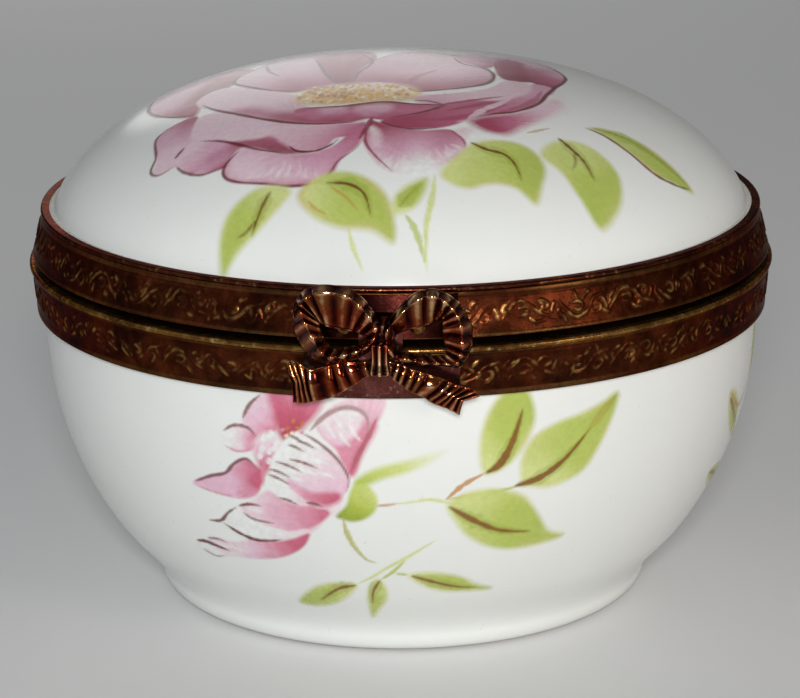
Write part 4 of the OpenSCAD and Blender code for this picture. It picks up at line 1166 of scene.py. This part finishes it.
def build_band(name, node, body, radius, z0, z1, lip_low, lip_high, plate_half, seed):
    """A strip with raised scrollwork between two plain lips. The strip is plain where
    the clasp's plate lies on it."""
    cols = int(2 * math.pi * radius((z0 + z1) / 2) / BAND_STEP)
    turn = np.linspace(-180, 180, cols, endpoint=False)
    z = np.linspace(z0, z1, int((z1 - z0) / BAND_STEP))
    S, Z = np.meshgrid(np.radians(turn) * BAND_R, z)
    c = Canvas(np.stack([S.ravel(), Z.ravel()], -1), WHITE)
    r = np.random.default_rng(seed)
    pitch = 2 * math.pi * BAND_R / ORNAMENTS
    low_edge, high_edge = z0 + lip_low, z1 - lip_high
    for k in range(-ORNAMENTS // 2, ORNAMENTS // 2):
        scroll_motif(c, k * pitch, pitch, (low_edge + high_edge) / 2, 1 - 2 * (k % 2), r)

    def mottle(stretch, shift, *layers):
        """Patchiness about 0, from layers of (size, strength)."""
        total = sum(strength * waves(c.p * stretch, size, seed + shift + k)
                    for k, (size, strength) in enumerate(layers))
        return total.reshape(S.shape)

    ridge = c.film.reshape(S.shape)
    fade, lip_slope = 0.2, 0.1
    ridge *= (np.abs(S) > plate_half) * np.clip((Z - low_edge) / fade, 0, 1)
    ridge *= np.clip((high_edge - Z) / fade, 0, 1)
    lips = np.maximum(np.clip((low_edge - Z) / lip_slope, 0, 1),
                      np.clip((Z - high_edge) / lip_slope, 0, 1))
    groove = np.exp(-((Z - high_edge + 0.1) / 0.12) ** 2)
    worn = np.clip(mottle([1, 1], 0, (2.2, 0.8), (0.9, 0.6)) + 0.2, 0, 1)
    rubbed = np.clip(mottle([0.2, 1], 2, (2.5, 0.4)) + 0.5, 0, 1)
    lift = RIDGE_RISE * ridge + LIP_RISE * lips - GROOVE_DEPTH * groove - GROUND_DEPTH
    R = radius(Z) + lift
    outer = np.stack([R * np.sin(np.radians(turn)), -R * np.cos(np.radians(turn)), Z], -1)
    back_z = np.linspace(z1, z0, 6)
    back = lathe_points(list(zip(radius(back_z) - BAND_T, back_z)), np.radians(turn))
    pts = np.concatenate([outer, back])
    faces = grid_faces(len(pts), cols, True, True).tolist()
    obj = new_mesh(name, pts.reshape(-1, 3), faces, body)
    bright = np.clip(0.7 * ridge * worn + 0.24 * lips * rubbed, 0, 1)
    bright = np.concatenate([bright, np.zeros(back.shape[:2])])
    hollow = np.concatenate([np.clip(ridge + lips, 0, 1), np.ones(back.shape[:2])])
    set_colour(obj, "wear_and_painted_light", np.stack([bright] * 3 + [hollow], -1).reshape(-1, 4))
    dress(obj, band_brass)
    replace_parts(obj, node)


PLATE_HALF = high("catch_plate").x - 0.4
build_band("engraved_base_band", "base_band", "base", base_band_r, BASE_BAND_Z, BASE_WIRE_Z,
           0.55, 0.25, PLATE_HALF, 3)
build_band("engraved_lid_band", "lid_band", "lid", lid_band_r, LID_BAND_Z, LID_WIRE_Z,
           0.35, 0.5, PLATE_HALF, 5)


# ---------------------------------------------------------------- ribbon bow

KNOT_Z = 36.0
BOW_R = 40.5
RIBBON_T = 0.3
PLEAT_RISE = 0.16
PLEAT_WARP = 0.32
VALLEY_SHARPNESS = 0.75
EDGE_WIDTH = 0.05    # as a share of the ribbon's width


def on_band(x, z, r):
    """A place in front of the band: x round it from the knot, z above the knot's middle."""
    a = np.asarray(x) / BOW_R
    return np.stack([r * np.sin(a), -r * np.cos(a), KNOT_Z + np.asarray(z)], -1)


def along(points, count, closed):
    """Places at even steps of a smooth line through points of any number of values."""
    p = padded(points, closed)
    n = len(p) - 3
    u = np.linspace(0, n, count, endpoint=not closed)
    k = np.minimum(u.astype(int), n - 1)
    return catmull_rom(p[k], p[k + 1], p[k + 2], p[k + 3], (u - k)[:, None])


def ribbon(name, node, rails, pleats, depth, closed, notch=0.0, seed=1):
    """A pleated ribbon through three long rails, from one edge to the other. Each rail
    point is (x, z, distance from the box's axis). The pleats run across it: round backed,
    with sharp valleys, uneven in width and height."""
    rows, cols = (400 if closed else 260), 21
    lines = np.stack([along(rail, rows, closed) for rail in rails], 1)
    v = np.linspace(0, 1, cols)
    crest = 1 - np.abs(2 * v - 1)
    if closed:
        share = crest[None, :, None]
        first, last = (v < 0.5)[None, :, None], (v >= 0.5)[None, :, None]
        outer = lines[:, 0:1] * first + lines[:, 2:3] * last
        grid = lines[:, 1:2] * share + (1 - share) * outer
    else:
        grid = np.stack([along(row, cols, False) for row in lines])
    u = np.linspace(0, 1, rows, endpoint=not closed)
    r = np.random.default_rng(seed)
    if notch:
        # The free end is cut in a shallow V
        pull = notch * crest[None, :] * np.clip((u - 0.7) * 4, 0, 1)[:, None]
        shift = np.clip(u[:, None] - pull, 0, 1) * (rows - 1)
        k = np.minimum(shift.astype(int), rows - 2)
        f = (shift - k)[..., None]
        j = np.arange(cols)[None, :]
        grid = grid[k, j] * (1 - f) + grid[k + 1, j] * f
    warp = sum(PLEAT_WARP / n * np.sin(2 * math.pi * (n * u + r.uniform(0, 1)))
               for n in (1, 2, 3, 5))
    phase = (pleats * u + warp)[:, None] + 0.12 * (v - 0.5)[None, :]
    wave = 2 * np.abs(np.sin(math.pi * phase)) ** VALLEY_SHARPNESS - 1
    height = 1 + 0.35 * np.sin(2 * math.pi * 3 * u + r.uniform(0, 6))[:, None]
    fade = 0.35 + 0.65 * np.sin(math.pi * v)[None, :] ** 0.7
    from_edge = np.minimum(v, 1 - v)
    rim = 0.08 * np.exp(-(from_edge / EDGE_WIDTH) ** 2)[None, :]
    sheet = on_band(grid[..., 0], grid[..., 1], grid[..., 2])
    du = np.roll(sheet, -1, 0) - np.roll(sheet, 1, 0) if closed else np.gradient(sheet, axis=0)
    dv = np.gradient(sheet, axis=1)
    n = np.cross(du, dv)
    n /= np.maximum(np.linalg.norm(n, axis=-1, keepdims=True), 1e-9)
    n *= -np.sign(n[..., 1].mean())
    rise = (depth * wave * height * fade + rim)[..., None]
    top = sheet + n * rise
    under = sheet + n * (0.6 * rise - RIBBON_T)
    pts = np.concatenate([top, under[:, ::-1]], axis=1)
    faces = grid_faces(rows, 2 * cols, closed, True).tolist()
    if not closed:
        for j in range(cols - 1):
            for row in (0, rows - 1):
                q = row * 2 * cols
                faces.append([q + j, q + j + 1, q + 2 * cols - 2 - j, q + 2 * cols - 1 - j])
    # Painted highlight on the backs of the pleats, the edges and a loop's crest, and painted shade
    # in the valleys
    painted_light = np.clip(0.5 + 0.5 * wave, 0, 1) ** 1.3 * 0.8
    bright_line = np.minimum(from_edge, np.abs(v - 0.5)) if closed else from_edge
    edge = np.exp(-(bright_line / EDGE_WIDTH) ** 2)[None, :] * np.ones((rows, 1))
    painted_light = np.clip(np.maximum(painted_light, 0.85 * edge), 0, 1)
    # The underside gets the same marks at 0.4: painted shade under the ribbon
    painted_light = np.concatenate([painted_light, painted_light[:, ::-1] * 0.4], axis=1)
    gild(name, node, pts.reshape(-1, 3), faces, painted_light.ravel())


def gild(name, node, verts, faces, painted_light):
    """A finished piece of the bow, with its painted light: how bright each place is coloured, from
    painted shade to painted highlight.
    """
    obj = new_mesh(name, verts, faces, "clasp")
    set_colour(obj, "wear_and_painted_light", np.stack([painted_light] * 4, -1))
    dress(obj, bow_brass_painted_light)
    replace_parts(obj, node)


def build_knot():
    """The bound middle of the bow: a small barrel with upright flutes, flared below."""
    axis_y, flutes = -(REACH - 0.8), 7
    z = np.linspace(-1.58, 1.45, 34)
    turn = np.linspace(0, 2 * math.pi, 120, endpoint=False)
    width = 0.78 + 0.34 * np.clip(-z / 1.6, 0, 1) ** 2 + 0.08 * np.clip(z / 1.4, 0, 1) ** 2
    ends = np.sqrt(np.clip(1 - (np.abs(z) / 1.72) ** 8, 0, 1))
    flute = np.cos(flutes * turn)[None, :]
    R = (width * ends)[:, None] * (1 + 0.1 * np.sign(flute) * np.abs(flute) ** 0.7)
    x, y = R * np.sin(turn), -0.92 * R * np.cos(turn)
    pts = np.stack([x, axis_y + y, KNOT_Z + z[:, None] * np.ones_like(turn)], -1)
    verts, faces = with_poles(pts, [0, axis_y, KNOT_Z + z[0] - 0.02],
                              [0, axis_y, KNOT_Z + z[-1] + 0.02])
    # Painted highlight on the flutes' backs and painted shade in the grooves between them
    painted_light = np.clip(0.5 + 0.55 * flute, 0, 1) ** 1.5 * np.ones((len(z), 1))
    gild("fluted_knot", "bow_knot", verts, faces, np.append(painted_light.ravel(), [0.2, 0.2]))


# How far the loops' crests, their edges and the tails stand from the box's axis
FRONT = REACH - 0.35
REAR = REACH - 1.5
TAIL_R = REACH - 2.0


def at_depth(points, r):
    return [(x, z, r) for x, z in points]


ribbon("ribbon_loop_left", "bow_loop_left", (
    at_depth([(-7.6, 5.5), (-6.4, 6.6), (-4.4, 6.85), (-2.6, 6.45), (-1.3, 5.3),
              (-0.5, 4.1), (0.0, 2.8), (-0.5, 1.2), (-1.6, 0.15), (-2.9, -0.45),
              (-4.8, -0.75), (-6.2, -0.4), (-7.1, 0.4), (-7.8, 1.6), (-8.15, 2.8),
              (-8.1, 4.2)], REAR),
    at_depth([(-7.0, 5.5), (-6.1, 6.25), (-4.4, 6.5), (-2.8, 6.1), (-1.55, 5.0),
              (-0.75, 3.9), (-0.3, 2.8), (-0.75, 1.6), (-1.6, 0.95), (-2.8, 0.5),
              (-4.4, 0.1), (-5.4, 0.65), (-6.1, 1.8), (-6.6, 2.9), (-7.0, 3.8),
              (-7.2, 4.7)], FRONT),
    at_depth([(-5.6, 3.3), (-5.2, 3.0), (-4.3, 2.75), (-3.3, 2.6), (-2.5, 2.5),
              (-1.8, 2.2), (-1.3, 1.8), (-1.5, 1.3), (-2.0, 1.05), (-2.9, 0.85),
              (-4.2, 0.6), (-4.9, 1.1), (-5.3, 1.7), (-5.55, 2.3), (-5.7, 2.8),
              (-5.7, 3.2)], REAR)), 16, PLEAT_RISE, True, seed=1)
ribbon("ribbon_loop_right", "bow_loop_right", (
    at_depth([(0.4, 2.4), (1.3, 4.2), (2.75, 5.75), (4.2, 6.45), (5.4, 6.4), (6.5, 5.8),
              (7.4, 5.0), (8.2, 3.7), (8.6, 2.3), (8.5, 0.7), (8.05, -0.4), (7.4, -1.2),
              (6.0, -0.95), (4.4, -0.9), (2.6, -0.55), (1.0, 0.05)], REAR),
    at_depth([(0.6, 2.4), (1.55, 3.95), (2.9, 5.4), (4.2, 6.1), (5.3, 6.0), (6.1, 5.4),
              (6.8, 4.6), (7.3, 3.6), (7.5, 2.3), (7.5, 0.9), (7.3, 0.1), (6.9, -0.6),
              (5.8, -0.5), (4.4, -0.4), (2.6, -0.05), (1.15, 0.45)], FRONT),
    at_depth([(1.2, 1.8), (2.1, 2.5), (3.2, 2.8), (4.3, 3.1), (5.1, 3.5), (5.7, 3.9),
              (5.85, 3.5), (5.85, 2.8), (5.9, 2.0), (6.1, 1.0), (6.2, 0.4), (5.9, 0.05),
              (5.1, 0.0), (4.0, 0.1), (2.6, 0.4), (1.3, 0.9)], REAR)),
    16, PLEAT_RISE, True, seed=2)
ribbon("ribbon_tail_left", "bow_tail_left", (
    at_depth([(-0.5, -0.7), (-2.0, -0.75), (-3.7, -0.8), (-5.3, -1.25), (-6.8, -1.6),
              (-8.4, -0.8), (-9.25, -1.5)], TAIL_R),
    at_depth([(-0.5, -1.1), (-1.8, -1.5), (-3.3, -2.0), (-5.0, -2.8), (-6.6, -3.2),
              (-7.9, -2.9), (-8.9, -3.2)], TAIL_R + 0.3),
    at_depth([(-0.5, -1.6), (-1.6, -2.3), (-2.9, -3.2), (-4.8, -4.3), (-6.4, -4.75),
              (-7.4, -5.0), (-8.5, -5.0)], TAIL_R)), 9, 0.15, False, notch=0.08, seed=3)
ribbon("ribbon_tail_right", "bow_tail_right", (
    at_depth([(0.6, -0.6), (1.9, -0.95), (3.5, -1.6), (5.6, -2.3), (7.0, -3.0),
              (8.7, -3.6), (9.4, -4.4)], TAIL_R),
    at_depth([(0.6, -1.1), (1.7, -1.8), (3.2, -2.6), (4.8, -3.2), (6.0, -3.9),
              (7.5, -4.5), (8.5, -5.2)], TAIL_R + 0.3),
    at_depth([(0.5, -1.7), (1.5, -2.6), (2.8, -3.6), (3.9, -4.1), (4.9, -4.8),
              (6.3, -5.4), (7.5, -6.1)], TAIL_R)), 11, 0.15, False, notch=0.12, seed=4)
build_knot()


# ---------------------------------------------------------------- floor, lights and camera

def area_light(name, place, size, power, colour):
    """A round soft light that looks at the middle of the box."""
    data = bpy.data.lights.new(name, "AREA")
    data.shape = "DISK"
    data.size = size
    data.energy = power
    data.color = colour
    obj = bpy.data.objects.new(name, data)
    bpy.context.scene.collection.objects.link(obj)
    obj.location = place
    direction = Vector(LIT_PLACE) - Vector(place)
    obj.rotation_euler = direction.to_track_quat("-Z", "Y").to_euler()


FLOOR_SIZE = 6
LIT_PLACE = (0, 0, 0.03)

bpy.ops.mesh.primitive_plane_add(size=FLOOR_SIZE, location=(0, 0, 0))
floor = bpy.context.object
floor.name = "floor"
floor_mat, floor_shader = material("pale_floor")
floor_shader.inputs["Base Color"].default_value = (0.78, 0.78, 0.78, 1)
floor_shader.inputs["Roughness"].default_value = 0.9
dress(floor, floor_mat)

world = bpy.data.worlds.new("studio")
bpy.context.scene.world = world
world.use_nodes = True
background = world.node_tree.nodes["Background"]
background.inputs["Color"].default_value = (0.96, 0.98, 1.0, 1)
background.inputs["Strength"].default_value = 0.17

area_light("key", (0.03, -0.6, 0.25), 0.12, 2.65, (0.985, 0.995, 1))
area_light("fill_right", (0.43, -0.36, 0.17), 0.14, 0.42, (1, 0.8, 0.64))
area_light("fill_back", (-0.12, 0.6, 0.22), 0.3, 0.35, (1, 0.99, 0.97))
area_light("fill_left", (-0.5, -0.15, 0.3), 0.35, 0.15, (0.84, 0.94, 1))

# Camera: a little above the box and slightly to its right, from about 35 cm
CAMERA_LENS = 148.5
CAMERA_DISTANCE = 0.351
CAMERA_TURN = math.radians(2.85)
CAMERA_RISE = math.radians(14.44)
LOOK_X = -0.00018
LOOK_Z = 0.0248
ROLL = math.radians(-0.54)
pivot = Vector((0, 0, PARTING_Z * MM))
offset = Vector((math.sin(CAMERA_TURN) * math.cos(CAMERA_RISE),
                 -math.cos(CAMERA_TURN) * math.cos(CAMERA_RISE), math.sin(CAMERA_RISE)))
camera_data = bpy.data.cameras.new("camera")
camera_data.lens = CAMERA_LENS
camera_data.sensor_width = 36
camera_data.clip_start = 0.01
camera = bpy.data.objects.new("camera", camera_data)
bpy.context.scene.collection.objects.link(camera)
camera.location = pivot + offset * CAMERA_DISTANCE
gaze = Vector((LOOK_X, 0, LOOK_Z)) - camera.location
camera.rotation_euler = (gaze.to_track_quat("-Z", "Y").to_matrix()
                         @ Matrix.Rotation(ROLL, 3, "Z")).to_euler()
bpy.context.scene.camera = camera
bpy.context.scene.view_settings.view_transform = "Standard"
